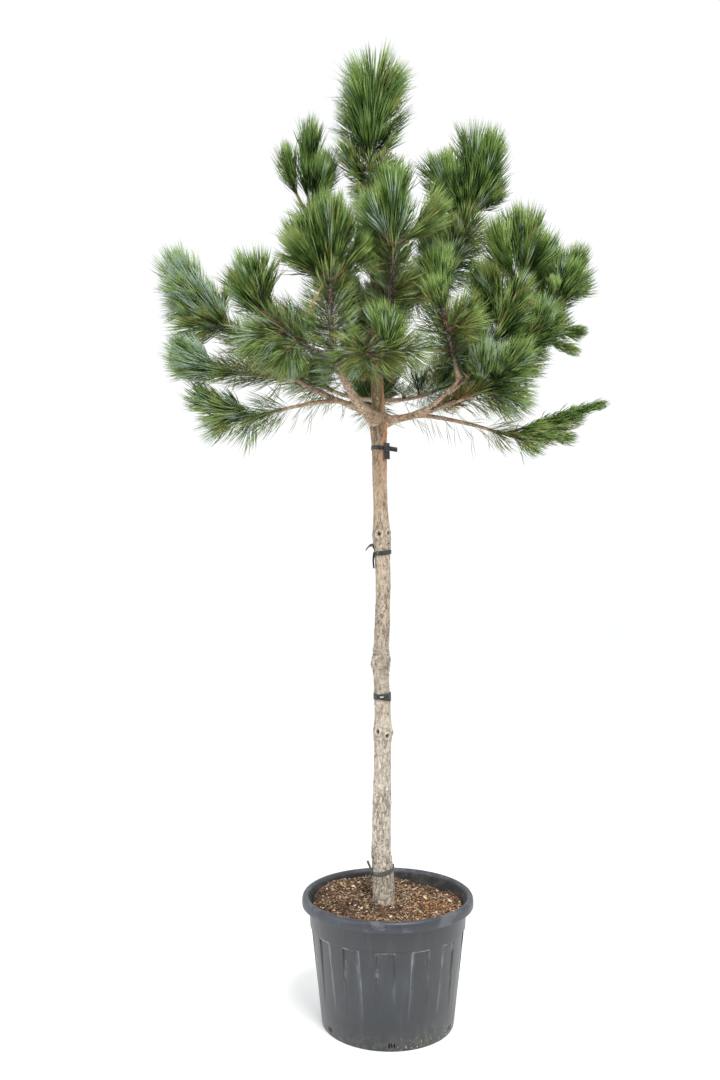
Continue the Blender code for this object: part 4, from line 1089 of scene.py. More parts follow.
# %% Needles for every mass
NEW_PER_METRE = 2100
OLD_PER_METRE = 1100
STRAY_PER_METRE = 60
NEST_PER_METRE = 220
NEEDLE_WIDTH = 0.0023
THINNER = {"left_low": 0.65, "right_low": 0.6, "left": 0.95, "left_outer": 0.8, "right": 0.9,
           "front_inner": 0.8, "leader": 2.0, "collar_left": 0.7, "collar_front": 0.5,
           "collar_back": 0.5}
OLD_NEEDLES = {
    "bough_left_outer": (0.9, 30, 22, -0.15, "old"), "bough_left_low": (0.8, 40, 30, 0.0, "soft"),
    "bough_left": (1.0, 48, 38, 0.0, "old"), "bough_right_low": (0.8, 36, 28, 0.0, "old"),
    "bough_left_front": (3.0, 68, 52, 0.12, "soft"), "upper_front": (2.2, 64, 50, 0.15, "old"),
    "bough_right_up": (1.8, 54, 42, 0.10, "deep"), "bough_right_outer": (1.7, 54, 42, 0.10, "deep"),
    "bough_right_edge": (1.5, 54, 42, 0.10, "deep"), "bough_right_front": (2.8, 62, 48, 0.18, "old"),
    "upper_right": (2.0, 58, 46, 0.22, "deep"), "bough_front_outer": (1.7, 56, 42, 0.20, "soft"),
}
OLD_ELSEWHERE = (1.0, 56, 42, 0.22, "old")
NEST_SHARES = {"upper_right": 4.0, "upper_front": 0.5}
SHOWN = ("bough_left_front", "upper_front", "bough_right_front", "bough_left", "bough_front_outer")
NEAR_SIDE = -0.20
STILL_THERE = 0.15
TWIG_LEAN = (42, 18, 2)


def clad(line, low, high, per_metre, lean, length, droop, gather, tone, own, rivals, rng,
         bared=False):
    """The needles of one stretch of wood that are clear of everything, with colours. Bared
    wood has lost most of those on its near side."""
    found = brush(line, low, high, per_metre, lean, length, droop, gather, rng)
    clear = keep_clear(*found[:3], own, rivals)
    if bared:
        clear &= (found[1][:, 1] > NEAR_SIDE) | (rng.random(len(clear)) < STILL_THERE)
    return [part[clear] for part in found[:4]] + [deal(*found[4:], TONES[tone], rng)[clear]]


twig_parts = []
bud_parts = []
needle_total = 0
for number, (mass, limb, start, length, bearing, lift, whorl, roll, spread, tone) in enumerate(MASSES):
    rng = np.random.default_rng(900 + number)
    rivals = np.concatenate([stretches(s[::3]) for key in growth for s in growth[key] if key != mass])
    own = np.concatenate([stretches(s[::3]) for s in growth[mass]])
    top = mass == "leader"
    full = NEW_PER_METRE * THINNER.get(mass, 1.0)
    axis = unit(bearing, lift)
    batches = []
    for shoot, (foot_lean, tip_lean, low, size, droop, shade) in zip(growth[mass], brushes[mass]):
        batches.append(clad(shoot, low, 0.94 if top else 1.0, full, (foot_lean, tip_lean, 4),
                            NEEDLE * size, droop, axis * 0.05, shade, own, rivals, rng))
    for shoot in twiglets[mass]:
        batches.append(clad(shoot, 0.15, 1.0, full * 0.8, TWIG_LEAN, NEEDLE * 0.85, 0.05,
                            axis * 0.35, tone, own, rivals, rng))
    if top:
        batches.append(clad(trunk_points(np.linspace(2.86, TRUNK_TIP, 6)), 0.0, 1.0, full * 0.7, (78, 66, 1),
                            NEEDLE * 0.6, 0.3, 0.0, "old", own, rivals, rng))
    if limb != "trunk":
        own = np.concatenate((own, stretches(lines[limb][::4])))
        low = CLAD_FROM.get(limb, CLAD_ELSEWHERE)
        share, foot_lean, tip_lean, droop, shade = OLD_NEEDLES.get(limb, OLD_ELSEWHERE)
        batches.append(clad(lines[limb], low, 1.0, OLD_PER_METRE * share, (foot_lean, tip_lean, 1),
                            NEEDLE * 0.84, droop, 0.0, shade, own, rivals, rng, limb in SHOWN))
        batches.append(clad(lines[limb], 0.2, low, STRAY_PER_METRE, (70, 50, 1), NEEDLE * 0.8,
                            0.75, 0.0, "old", own, rivals, rng))
        nest = NEST_PER_METRE * NEST_SHARES.get(limb, 1.0)
        batches.append(clad(lines[limb], 0.86, 1.0, nest, (75, 60, 1), NEEDLE * 0.55,
                            0.5, 0.0, "dead", own, rivals, rng))
    roots, ways, reach, bows, slots = [np.concatenate(group) for group in zip(*batches)]
    widths = NEEDLE_WIDTH * rng.uniform(0.85, 1.15, len(roots))
    points, faces = spindles(roots, ways, reach, widths, bows)
    # The outer three faces of each needle carry the painted highlight colour.
    ends = np.where(rng.random(len(slots)) < HIGHLIGHT_SHARE, HIGHLIGHT_COLOUR[slots], slots)
    slots = np.stack((slots, slots, slots, ends, ends, ends), axis=1).ravel()
    mesh = build_mesh(f"needles_{mass}", points, [faces], slots, smooth=False)
    add_piece(mesh, needle_finishes, [f"foliage_{mass}"])
    needle_total += len(roots)
    for shoot in growth[mass] + twiglets[mass]:
        run = lengths_along(shoot)
        thin = np.interp(run, [0, run[-1]], [0.0060, 0.0036])
        twig_parts.append(limb_skin(shoot, thin, 6, 300 + number, step=0.0042)[:3])
        bud_parts.append(shoot)
print("needles:", needle_total, "triangles:", needle_total * 6)

# %% Needle litter
rng = np.random.default_rng(880)
skirt = trunk_points(np.linspace(2.27, 2.42, 10))
found = brush(skirt, 0.0, 1.0, 1500, (75, 60, 1), 0.055, 0.9, 0.0, rng)
roots = found[0] + norm(found[1] * [1, 1, 0]) * 0.023
slots = deal(*found[4:], TONES["dead"], rng)
fallen = np.array([(-0.213, -0.345, 2.504), (-0.211, -0.346, 2.500)])
fallen_ways = norm(np.array([(-0.273, -0.345, 2.395), (-0.266, -0.347, 2.392)]) - fallen)
roots = np.concatenate((roots, fallen))
ways = np.concatenate((found[1], fallen_ways))
reach = np.concatenate((found[2], [0.128, 0.125]))
bows = np.concatenate((found[3], np.zeros((2, 3))))
slots = np.concatenate((slots, [STRAW, STRAW]))
widths = np.where(np.arange(len(roots)) < len(found[0]), 0.0022, 0.0040)
points, faces = spindles(roots, ways, reach, widths, bows)
mesh = build_mesh("needle_litter", points, [faces], np.repeat(slots, 6), smooth=False)
add_piece(mesh, needle_finishes)
print("dead needles:", len(roots))

# %% Needle stumps
rng = np.random.default_rng(870)
stumps = [brush(lines[limb], CLAD_FROM[limb], 1.0, 500, (64, 48, 1), 0.024, 0.1, 0.0, rng)[:4]
          for limb in SHOWN]
roots, ways, reach, bows = [np.concatenate(group) for group in zip(*stumps)]
points, faces = spindles(roots, ways, reach, np.full(len(roots), 0.0036), bows * 0.1)
mesh = build_mesh("needle_stumps", points, [faces], smooth=False)
add_piece(mesh, [twig_bark.material])
print("needle stumps:", len(roots))

# %% Twigs and buds
points, faces = join(twig_parts)
mesh = build_mesh("twigs", points, faces)
add_piece(mesh, [twig_bark.material])
print("twigs:", len(twig_parts), "faces:", len(mesh.polygons))
buds = []
for shoot in bud_parts:
    ahead = norm(shoot[-1] - shoot[-2])
    at = np.linspace(0, 1, 9)[:, None]
    path = shoot[-1] - ahead * 0.002 + ahead * at * 0.020
    swell = 0.0042 * np.sin(np.pi * at[:, 0] ** 0.75) + 0.0004
    buds.append((tube_grid(path, swell, 8), *tube_faces(9, 8)))
points, faces = join(buds)
add_piece(build_mesh("buds", points, faces), [bud_scales.material])
print("buds:", len(buds))

# %% [markdown]
# ## Mulch
#
# The pot is filled to the rim at the front, heaped a little to the left, and covered with
# flat bark chips that lie every way over a bed of finer crumbs.

# %% Mulch bed
SOIL_RADIUS = 0.262
POT_FLOOR = 0.009
RINGS = 60
SPOKES = 120


def bed_height(x, y):
    """A slope up to the back, a heap at the left, a dip at the back right, and crumbs."""
    slope = 0.015 * np.clip(y / 0.20 + 0.6, 0, 1)
    heap = 0.024 * np.exp(-(((x + 0.12) / 0.14) ** 2 + ((y - 0.10) / 0.15) ** 2))
    dip = 0.016 * np.exp(-(((x - 0.16) / 0.12) ** 2 + ((y - 0.16) / 0.13) ** 2))
    crumbs = 0.0045 * lattice_noise(x * 2 + 0.5, y + 0.5, 22, 11, 71)
    crumbs += 0.0030 * lattice_noise(x * 2 + 0.5, y + 0.5, 70, 35, 72)
    return 0.388 + slope + heap - dip + crumbs


share = np.linspace(0.02, 1, RINGS)[:, None]
turn = np.linspace(0, 2 * np.pi, SPOKES, endpoint=False)[None, :]
x, y = SOIL_RADIUS * share * np.cos(turn), SOIL_RADIUS * share * np.sin(turn)
top = np.stack((x, y, bed_height(x, y)), axis=-1)
wall_heights = np.linspace(0.36, POT_FLOOR + 0.001, 14)[:, None]
wall_radius = 0.2205 + (SOIL_RADIUS - 0.2205) * (wall_heights - POT_FLOOR) / 0.375
wall = np.stack((wall_radius * np.cos(turn), wall_radius * np.sin(turn), wall_heights + 0 * turn), axis=-1)
rings = np.concatenate((top, wall)).reshape(-1, 3)
poles = np.array([[0, 0, float(bed_height(np.zeros(1), np.zeros(1))[0])], [0, 0, POT_FLOOR + 0.001]])
quads, triangles = tube_faces(RINGS + len(wall_heights), SPOKES)
bed = Finish("mulch_bed", (0.10, 0.055, 0.032), 0.95)
crumble = bed.noise(90, detail=5, rough=0.7)
bed.feed("Base Color", bed.mix(crumble.between(0.35, 0.65), (0.022, 0.014, 0.010), (0.120, 0.070, 0.044)))
bed.bump(crumble, 0.8, 0.006)
mesh = build_mesh("mulch_bed", np.concatenate((rings, poles)), [quads[:, ::-1], triangles[:, ::-1]])
add_piece(mesh, [bed.material], ["soil"])

# %% Bark chips
CHIP_COLOURS = {
    "red": (0.205, 0.098, 0.056), "brown": (0.140, 0.082, 0.047), "tan": (0.430, 0.295, 0.165),
    "cream": (0.720, 0.590, 0.410), "dark": (0.044, 0.024, 0.015), "rust": (0.360, 0.160, 0.050),
}
CHIP_SHARES = (0.22, 0.30, 0.21, 0.06, 0.21, 0.00)
DARK_SHARES = (0.24, 0.26, 0.09, 0.04, 0.37, 0.00)
RUST_SHARES = (0.17, 0.16, 0.17, 0.04, 0.14, 0.32)
chip_finishes = [Finish(f"chip_{key}", colour, 0.9).material for key, colour in CHIP_COLOURS.items()]
CUBE_SIGNS = np.array([(x, y, z) for z in (-1, 1) for y in (-1, 1) for x in (-1, 1)])
CUBE_SIDES = np.array([(0, 2, 3, 1), (4, 5, 7, 6), (0, 1, 5, 4), (1, 3, 7, 5), (3, 2, 6, 7),
                       (2, 0, 4, 6)])


def chips(count, longest, broadest, thickest, lift, rng):
    """Boxes with pulled-in corners that lie at random on the bed: points and tints."""
    reach = (SOIL_RADIUS - 0.5 * longest[1]) * np.sqrt(rng.uniform(0.01, 1, count))
    turn = rng.uniform(0, 2 * np.pi, count)
    x, y = reach * np.cos(turn), reach * np.sin(turn)
    free = np.hypot(x - trunk_point(0.4)[0], y) > 0.043
    x, y = x[free], y[free]
    count = len(x)
    middle = np.stack((x, y, bed_height(x, y) + rng.uniform(0, lift, count)), axis=1)
    spin = rng.uniform(0, 2 * np.pi, count)
    tilt = rng.normal(0, 0.30, (count, 2))
    along = norm(np.stack((np.cos(spin), np.sin(spin), tilt[:, 0]), axis=1))
    across = np.stack((-np.sin(spin), np.cos(spin), tilt[:, 1]), axis=1)
    upper = norm(np.cross(along, across))
    across = np.cross(upper, along)
    grown = rng.uniform(0, 1, count) ** 2.2
    half = np.stack([size[0] + (size[1] - size[0]) * grown * rng.uniform(0.7, 1.1, count)
                     for size in (longest, broadest, thickest)], axis=1)
    local = CUBE_SIGNS[None] * half[:, None] / 2 * rng.uniform(0.5, 1.0, (count, 8, 3))
    points = middle[:, None] + (local[..., :1] * along[:, None] + local[..., 1:2] * across[:, None]
                                + local[..., 2:] * upper[:, None])
    rusty = np.exp(-(((x - 0.16) / 0.09) ** 2 + ((y + 0.04) / 0.12) ** 2)) > rng.uniform(0, 1, count)
    patch = lattice_noise(x * 2 + 0.5, y + 0.5, 9, 5, 73) + 0.25 * rng.normal(0, 1, count) > 0.15
    tints = np.where(patch, rng.choice(6, count, p=DARK_SHARES), rng.choice(6, count, p=CHIP_SHARES))
    tints = np.where(rusty, rng.choice(6, count, p=RUST_SHARES), tints)
    return points, tints


rng = np.random.default_rng(77)
heaps = [
    chips(8200, (0.003, 0.011), (0.002, 0.0075), (0.0015, 0.0050), 0.004, rng),
    chips(420, (0.010, 0.026), (0.005, 0.014), (0.0020, 0.0065), 0.005, rng),
    chips(260, (0.030, 0.070), (0.0010, 0.0022), (0.0010, 0.0020), 0.009, rng),
]
points = np.concatenate([heap[0] for heap in heaps])
tints = np.concatenate([heap[1] for heap in heaps])
tints[-len(heaps[2][1]):] = np.where(tints[-len(heaps[2][1]):] % 2 == 0, 2, 3)
faces = (CUBE_SIDES[None] + 8 * np.arange(len(points))[:, None, None]).reshape(-1, 4)
mesh = build_mesh("bark_chips", points.reshape(-1, 3), [faces], np.repeat(tints, 6), smooth=False)
add_piece(mesh, chip_finishes)
print("chips:", len(points))

# %% [markdown]
# ## The pot
#
# The pot is a profile turned about its axis, with fourteen shallow recesses pressed into
# the wall. They are deepest under the shoulder, where they end in a ledge that carries
# pale dust, and they run out above the foot.

# %% Pot profile
FLUTES = 14
FLUTE_TURN = math.radians(-93.3)
FLUTE_TOP = 0.325
FLUTE_FOOT = 0.095
FLUTE_WIDTHS = (0.0605, 0.0695)
FLUTE_DEPTH = 0.0045
DRAINS = 6
DRAIN_TURN = math.radians(-88.6)
DRAIN_HEIGHT = 0.021
SLOT_WIDTH, SLOT_TALL, SLOT_PITCH = 0.0052, 0.014, 0.0082
SHOULDER = (0.2675, 0.3280)
FOOT = ((0.0001, 0.0), (0.110, 0.0), (0.2265, 0.0), (0.2284, 0.0012), (0.2290, 0.0035))
LIP = ((0.2675, 0.3280), (0.2690, 0.3300), (0.2715, 0.3315), (0.2730, 0.3600), (0.2750, 0.3990),
       (0.2765, 0.4003), (0.2985, 0.4010), (0.2996, 0.4022), (0.3000, 0.4060), (0.2999, 0.4150),
       (0.2994, 0.4210), (0.2980, 0.4265), (0.2952, 0.4312), (0.2910, 0.4342), (0.2865, 0.4348),
       (0.2815, 0.4325), (0.2780, 0.4280), (0.2760, 0.4200), (0.2665, 0.4000))
INNER = ((0.2640, 0.3750), (0.2600, 0.3300), (0.2205, 0.0100), (0.110, 0.0090), (0.0001, 0.0090))
half_slot = SLOT_TALL / 2
wall_z = np.concatenate((
    DRAIN_HEIGHT + np.array([-half_slot - 0.004, -half_slot - 0.0007, -half_slot + 0.0007,
                             -half_slot / 2, 0, half_slot / 2, half_slot - 0.0007,
                             half_slot + 0.0007, half_slot + 0.004]),
    np.linspace(0.040, 0.095, 8), np.linspace(0.102, 0.314, 30), np.linspace(0.317, 0.3275, 12)))
wall_r = FOOT[-1][0] + (SHOULDER[0] - FOOT[-1][0]) * wall_z / SHOULDER[1]
profile = np.concatenate((FOOT, np.stack((wall_r, wall_z), axis=1), LIP, INNER))
on_wall = np.zeros(len(profile), bool)
on_wall[len(FOOT):len(FOOT) + len(wall_z)] = True
print("profile points:", len(profile))

# %% Pot columns
IN_FLUTE = np.array([-1.0, -0.955, -0.91, -0.6, -0.3, 0.0, 0.3, 0.6, 0.91, 0.955])
BETWEEN = np.array([0.0, 0.06, 0.14, 0.32, 0.5, 0.68, 0.86, 0.94])


def flute_columns(width, girth):
    """Angles of the columns in and between the flutes, where a flute has this width."""
    half = width / 2 / girth
    pitch = 2 * np.pi / FLUTES
    middles = FLUTE_TURN + pitch * np.arange(FLUTES)[:, None]
    inside = middles + IN_FLUTE * half
    beside = middles + half + BETWEEN * (pitch - 2 * half)
    return np.concatenate((inside, beside), axis=1).ravel()


top_turns = flute_columns(FLUTE_WIDTHS[0], SHOULDER[0])
foot_turns = flute_columns(FLUTE_WIDTHS[1], 0.2400)
slot_marks = [-2, -1.0, -0.88, -0.5, 0, 0.5, 0.88, 1.0]
drain_turns = (DRAIN_TURN + 2 * np.pi * np.arange(DRAINS)[:, None, None] / DRAINS
               + (np.array([-1, 0, 1])[:, None] * SLOT_PITCH
                  + np.array(slot_marks[1:]) * SLOT_WIDTH / 2) / FOOT[-1][0]).ravel()
wraps = np.concatenate([foot_turns + 2 * np.pi * k for k in (-1, 0, 1)])
tops = np.concatenate([top_turns + 2 * np.pi * k for k in (-1, 0, 1)])
low_turns = np.sort(np.mod(np.concatenate((foot_turns, drain_turns)), 2 * np.pi))
low_turns = low_turns[np.concatenate(([True], np.diff(low_turns) > 0.0004))]
high_turns = np.interp(low_turns, np.sort(wraps), tops[np.argsort(wraps)])
print("columns:", len(low_turns))

# %% Pot mesh
r, z = profile[:, :1], profile[:, 1:]
down = np.clip((FLUTE_TOP - z) / (FLUTE_TOP - FLUTE_FOOT), 0, 1)
turn = high_turns + (low_turns - high_turns) * down
from_middle = np.angle(np.exp(1j * (turn - FLUTE_TURN) * FLUTES)) / FLUTES
half_width = (FLUTE_WIDTHS[0] + (FLUTE_WIDTHS[1] - FLUTE_WIDTHS[0]) * down) / 2
from_edge = half_width - np.abs(from_middle) * r
inside = np.clip(from_edge / 0.0028, 0, 1)
sunk = inside * np.clip((FLUTE_TOP - z) / 0.0022, 0, 1) * (1 - down) ** 0.7 * on_wall[:, None]
along_foot = np.angle(np.exp(1j * (turn - DRAIN_TURN) * DRAINS)) / DRAINS * FOOT[-1][0]
from_slot = np.abs(along_foot[..., None] - np.array([-1, 0, 1]) * SLOT_PITCH).min(axis=-1)
slotted = ((from_slot < SLOT_WIDTH / 2 * 0.94) & (np.abs(z - DRAIN_HEIGHT) < half_slot)
           & on_wall[:, None]).astype(float)
radius = r - FLUTE_DEPTH * sunk - 0.0068 * slotted
points = np.stack((radius * np.cos(turn), radius * np.sin(turn), z + 0 * radius), axis=-1)
quads, triangles = tube_faces(*radius.shape)
in_slot = slotted.reshape(-1)[quads].mean(axis=1) > 0.9
slots = np.concatenate((in_slot.astype(int), np.zeros(len(triangles), int)))
poles = np.array([[0, 0, 0], [0, 0, INNER[-1][1]]])
mesh = build_mesh("pot_shell", np.concatenate((points.reshape(-1, 3), poles)), [quads, triangles],
                  slots)
mesh.set_sharp_from_angle(angle=math.radians(40))
fading = (1 - down) ** 0.6 * on_wall[:, None] * (z < FLUTE_TOP + 0.003)
# The flute edge nearer the front is marked for a painted highlight line and the other for a painted shadow
# line.
toward_front = -np.sign(np.cos(turn)) * np.sign(from_middle) > 0
edge = np.exp(-((from_edge - 0.0010) / 0.0016) ** 2) * fading
within = np.zeros_like(radius)
within[-len(INNER) - 2:] = 1
mark(mesh, edge=edge * toward_front, shadow=edge * ~toward_front, within=within,
     ledge=inside * np.exp(-((z - FLUTE_TOP) / 0.0030) ** 2) * on_wall[:, None],
     smear=np.exp(-((from_edge - 0.004) / 0.006) ** 2) * np.clip((z - 0.15) / 0.12, 0, 1)
     * on_wall[:, None])
print("pot faces:", len(mesh.polygons))

# %% Pot finish
plastic = Finish("pot_plastic", (0.040, 0.044, 0.049), 0.40, Specular_IOR_Level=0.66)
spot = plastic.place()
left_right = plastic.node("ShaderNodeSeparateXYZ", output="X", Vector=spot)
front_back = plastic.node("ShaderNodeSeparateXYZ", output="Y", Vector=spot)
up = plastic.node("ShaderNodeSeparateXYZ", output="Z", Vector=spot)
edge = plastic.node("ShaderNodeAttribute", {"attribute_name": "edge"}, output="Fac")
ledge = plastic.node("ShaderNodeAttribute", {"attribute_name": "ledge"}, output="Fac")
smear = plastic.node("ShaderNodeAttribute", {"attribute_name": "smear"}, output="Fac")
shadow = plastic.node("ShaderNodeAttribute", {"attribute_name": "shadow"}, output="Fac")
within = plastic.node("ShaderNodeAttribute", {"attribute_name": "within"}, output="Fac")
streaks = plastic.noise(38, detail=5, stretch=(1, 1, 0.10))
film = plastic.noise(7, detail=4)
fine = plastic.noise(70, detail=4)
chalk = plastic.noise(26, detail=5, stretch=(1, 1, 0.35), rough=0.65)
on_lip = up.between(0.398, 0.404)
broken = plastic.noise(11, detail=3, stretch=(1, 1, 0.7))
shade = plastic.mix(on_lip, (0.017, 0.021, 0.026), (0.022, 0.027, 0.037))
lip_worn = plastic.noise(16, detail=4, rough=0.6).between(0.50, 0.62) * on_lip
shade = plastic.mix(lip_worn * 0.60, shade, (0.120, 0.128, 0.145))
shade = plastic.mix(film.between(0.42, 0.70) * 0.20, shade, (0.070, 0.078, 0.086))
shade = plastic.mix(streaks.between(0.50, 0.72) * 0.14, shade, (0.095, 0.104, 0.112))
# Painted shadow lines on the far flute edges and painted highlight lines on the near ones, broken up by scuffs;
# scuffs also lighten the far edges a little.
shade = plastic.mix(shadow * 0.65, shade, (0.010, 0.011, 0.012))
scuffs_and_highlight = broken.between(0.38, 0.60) * streaks.between(0.30, 0.58)
shade = plastic.mix(edge * (scuffs_and_highlight * 0.85 + 0.12), shade, (0.330, 0.345, 0.355))
shade = plastic.mix(shadow * scuffs_and_highlight * 0.22, shade, (0.300, 0.310, 0.315))
dusty = fine.between(0.36, 0.56) * (1 - broken.between(0.42, 0.58))
shade = plastic.mix(ledge * dusty * 0.80, shade, (0.370, 0.355, 0.325))
shade = plastic.mix(smear * chalk.between(0.48, 0.62) * 0.85, shade, (0.240, 0.250, 0.255))
base_dirt = (1 - up.between(0.0, 0.075)) * fine.between(0.40, 0.62)
shade = plastic.mix(base_dirt * 0.35, shade, (0.120, 0.112, 0.092))
right_front = left_right.between(0.03, 0.15) * (1 - front_back.between(-0.16, -0.06))
moss = right_front * (1 - up.between(0.02, 0.11)) * chalk.between(0.46, 0.60)
shade = plastic.mix(moss * 0.45, shade, (0.130, 0.128, 0.085))
flecks = plastic.noise(150, detail=1).between(0.66, 0.70) * (1 - up.between(0.01, 0.05))
shade = plastic.mix(flecks * left_right.between(-0.02, 0.05) * 0.8, shade, (0.560, 0.540, 0.500))
scratch = plastic.noise(30, detail=5, stretch=(0.5, 0.5, 3.0)).between(0.66, 0.72) * on_lip
shade = plastic.mix(scratch * 0.35, shade, (0.200, 0.205, 0.215))
dust_inside = plastic.noise(45, detail=5).between(0.45, 0.70)
shade = plastic.mix(within, shade, plastic.mix(dust_inside * 0.35, (0.014, 0.014, 0.015),
                                               (0.120, 0.100, 0.080)))
plastic.feed("Base Color", shade)
plastic.feed("Roughness", film * 0.26 + smear * 0.2 + lip_worn * 0.15 + within * 0.35 + 0.24
             + on_lip * 0.10)
plastic.bump(plastic.noise(260, detail=2) + streaks * 0.3, 0.10, 0.001)
in_drain = Finish("soil_in_drain", (0.12, 0.035, 0.022), 0.95)
damp = in_drain.noise(300, detail=3)
in_drain.feed("Base Color", in_drain.mix(damp.between(0.4, 0.6), (0.020, 0.012, 0.010),
                                         (0.170, 0.050, 0.028)))
add_piece(mesh, [plastic.material, in_drain.material], ["pot"])
print("pot finished")

# %% [markdown]
# ## The ties
#
# Each tie is a flat strap of black rubber pulled round the trunk. It follows the bark's own
# outline, a little proud of it, and tilts. Its loose ends stand off or hang down beside it.
# The lowest one is old and grey.

# %% Straps
def strap(path, sideways, width, thick):
    """A closed ribbon: a rounded flat section carried along a path, square to sideways.

    The section is an oval with its cosine to the power 0.35, so that it is almost a box."""
    path = np.asarray(path, float)
    sideways = norm(np.broadcast_to(np.asarray(sideways, float), path.shape))
    out = norm(np.cross(norm(np.gradient(path, axis=0)), sideways))
    turn = np.linspace(0, 2 * np.pi, 12, endpoint=False)
    wide = np.sign(np.cos(turn)) * np.abs(np.cos(turn)) ** 0.35 * width / 2
    deep = np.sign(np.sin(turn)) * np.abs(np.sin(turn)) ** 0.6 * thick / 2
    rings = (path[:, None] + wide[None, :, None] * sideways[:, None]
             + deep[None, :, None] * out[:, None])
    quads, triangles = tube_faces(len(path), 12)
    points = np.concatenate((rings.reshape(-1, 3), path[:1], path[-1:]))
    return points, quads, triangles


def band(height, width, tilt, tilt_bearing):
    """A strap once round the trunk, on the outermost bark under its width, and tilted."""
    near = np.abs(heights - height) < width / 2 + abs(tilt)
    outline = trunk_skin[near].max(axis=0)
    outline = np.mean([np.roll(outline, k) for k in range(-6, 7)], axis=0)
    turn = np.linspace(0, 2 * np.pi, 73) + 0.4
    reach = np.interp(np.mod(turn, 2 * np.pi), np.append(turns, 2 * np.pi),
                      np.append(outline, outline[0])) + 0.0012
    reach = reach + np.linspace(0, 0.0012, 73)
    rise = tilt * np.cos(turn - math.radians(tilt_bearing))
    path = trunk_point(height) + np.stack((reach * np.cos(turn), reach * np.sin(turn), rise), axis=1)
    return strap(path, (0, 0, 1), width, 0.0018)


def smooth_path(*knots):
    """Points between the knots, eased by a running mean of straight stretches."""
    knots = np.array(knots)
    run = np.linspace(0, len(knots) - 1, 12 * (len(knots) - 1) + 1)
    path = np.stack([np.interp(run, np.arange(len(knots)), knots[:, k]) for k in range(3)], axis=1)
    for _ in range(6):
        path[1:-1] = (path[:-2] + path[1:-1] + path[2:]) / 3
    return path


print("strap tools ready")

# %% Ties
def rubber_finish(name, colour, worn, roughness):
    finish = Finish(name, colour, roughness)
    dust = finish.noise(90, detail=4)
    finish.feed("Base Color", finish.mix(dust.between(0.45, 0.65), colour, worn))
    finish.bump(finish.noise(400, detail=2), 0.15, 0.001)
    return finish.material


black_rubber = rubber_finish("tie_rubber", (0.013, 0.013, 0.014), (0.040, 0.040, 0.040), 0.42)
grey_rubber = rubber_finish("tie_rubber_old", (0.080, 0.078, 0.070), (0.170, 0.165, 0.150), 0.6)
TIES = {
    "tie_top": (black_rubber, [
        band(2.004, 0.014, 0.002, 180),
        strap(smooth_path((-0.001, -0.0235, 2.021), (-0.001, -0.0265, 1.995),
                          (0.000, -0.0250, 1.962)), (1, 0.25, 0), 0.021, 0.0022),
        strap(smooth_path((-0.006, -0.0215, 2.002), (0.012, -0.0205, 2.001),
                          (0.037, -0.0180, 1.997)), (0, 0, 1), 0.017, 0.0022)]),
    "tie_upper": (black_rubber, [
        band(1.628, 0.015, 0.004, 20),
        strap(smooth_path((-0.043, -0.014, 1.640), (-0.052, -0.013, 1.656),
                          (-0.062, -0.012, 1.654), (-0.075, -0.012, 1.640)),
              (0.30, 0.55, 0.75), 0.014, 0.0022),
        strap(smooth_path((-0.0475, -0.009, 1.628), (-0.0500, -0.009, 1.602),
                          (-0.0475, -0.010, 1.572)), (0.40, 0.9, 0), 0.013, 0.0022)]),
    "tie_lower": (black_rubber, [
        band(1.120, 0.018, 0.004, 0),
        band(1.116, 0.018, 0.005, 180)]),
    "tie_foot": (grey_rubber, [
        band(0.513, 0.016, 0.008, 25),
        strap(smooth_path((-0.054, -0.016, 0.506), (-0.060, -0.014, 0.522),
                          (-0.071, -0.012, 0.547)), (0.55, 0.8, 0), 0.012, 0.0022),
        strap(smooth_path((-0.054, -0.018, 0.508), (-0.061, -0.016, 0.495),
                          (-0.064, -0.015, 0.474)), (0.55, 0.8, 0), 0.011, 0.0022)]),
}
for name, (finish, straps) in TIES.items():
    points, faces = join(straps)
    mesh = build_mesh(f"{name}_strap", points, faces)
    mesh.set_sharp_from_angle(angle=math.radians(50))
    add_piece(mesh, [finish], [name])
# A small pale metal strip across the front of the lower tie stands for a glint: a painted highlight.
clip = Finish("tie_glint_strip", (0.62, 0.60, 0.56), 0.35, Metallic=0.6)
clip.bump(clip.noise(500, detail=2), 0.2, 0.0005)
front = trunk_point(1.119)[0]
points, quads, triangles = strap(smooth_path((front - 0.008, -0.0395, 1.1205), (front - 0.002, -0.0405, 1.1190),
                                             (front + 0.004, -0.0400, 1.1200)), (0, 0, 1), 0.0040, 0.0016)
add_piece(build_mesh("tie_glint_strip", points, [quads, triangles]), [clip.material])
print("ties:", len(TIES))

# %% [markdown]
# ## Floor, light and camera
#
# The photograph has flat daylight in a white room. A bright even sky does most of the
# work. One broad soft light from above the front right models the needles and the bark,
# and a weaker one from the left keeps the shaded side open.

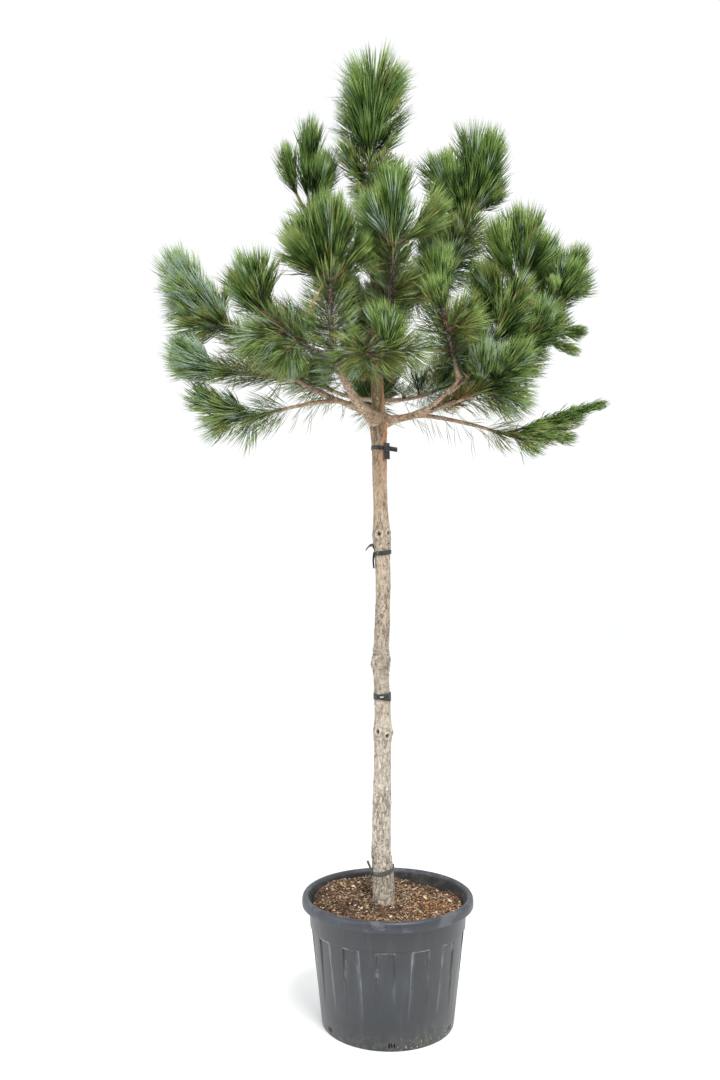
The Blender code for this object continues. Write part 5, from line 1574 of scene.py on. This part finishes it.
# %% Floor
FLOOR_REACH = 30.0
corner = np.array([(-1, -1, 0), (1, -1, 0), (1, 1, 0), (-1, 1, 0)]) * FLOOR_REACH
floor = bpy.data.objects.new("floor", build_mesh("floor", corner, [np.array([(0, 1, 2, 3)])],
                                                 smooth=False))
bpy.context.scene.collection.objects.link(floor)
floor.data.materials.append(Finish("floor", (0.96, 0.96, 0.96), 0.95).material)
print("floor laid")


# %% A grey card behind the camera
# It keeps the sky off the near side, so that the lip and the needles are lit from above and
# the pot's face mirrors something darker than white. A view from the back looks through it.
corner = np.array([(-5.0, -5.4, 0.0), (5.0, -5.4, 0.0), (5.0, -5.4, 3.8), (-5.0, -5.4, 3.8)])
card = bpy.data.objects.new("card", build_mesh("card", corner, [np.array([(0, 1, 2, 3)])],
                                               smooth=False))
bpy.context.scene.collection.objects.link(card)
card.data.materials.append(Finish("card", (0.22, 0.225, 0.23), 0.95).material)
card.visible_camera = False
print("card set")


# %% Lights
def soft_light(name, place, target, size, power, colour):
    """A round area light that faces its target."""
    lamp = bpy.data.lights.new(name, "AREA")
    lamp.shape = "DISK"
    lamp.size = size
    lamp.energy = power
    lamp.color = colour
    light = bpy.data.objects.new(name, lamp)
    bpy.context.scene.collection.objects.link(light)
    light.location = place
    away = np.array(place) - np.array(target)
    flat = math.hypot(away[0], away[1])
    light.rotation_euler = (math.atan2(flat, away[2]), 0.0, math.atan2(away[0], -away[1]))


soft_light("key", (1.6, -4.2, 6.8), (0, 0, 2.0), 3.2, 450, (1.0, 0.985, 0.95))
soft_light("fill", (-5.0, -3.0, 3.2), (0, 0, 1.8), 4.0, 120, (0.95, 0.98, 1.0))
world = bpy.data.worlds.new("sky")
bpy.context.scene.world = world
world.use_nodes = True
sky = world.node_tree.nodes["Background"]
sky.inputs["Color"].default_value = (0.985, 0.995, 1.0, 1.0)
sky.inputs["Strength"].default_value = 1.04
bpy.context.scene.view_settings.view_transform = "Standard"
print("lights:", [light.name for light in bpy.data.lights])

# %% Camera
camera_data = bpy.data.cameras.new("camera")
camera_data.lens = 30.67
camera_data.sensor_width = 36.0
camera_data.clip_end = 100.0
camera = bpy.data.objects.new("camera", camera_data)
bpy.context.scene.collection.objects.link(camera)
camera.location = (-0.097, -3.295, 1.498)
camera.rotation_euler = (math.radians(90 + 3.06), 0.0, 0.0)
bpy.context.scene.camera = camera
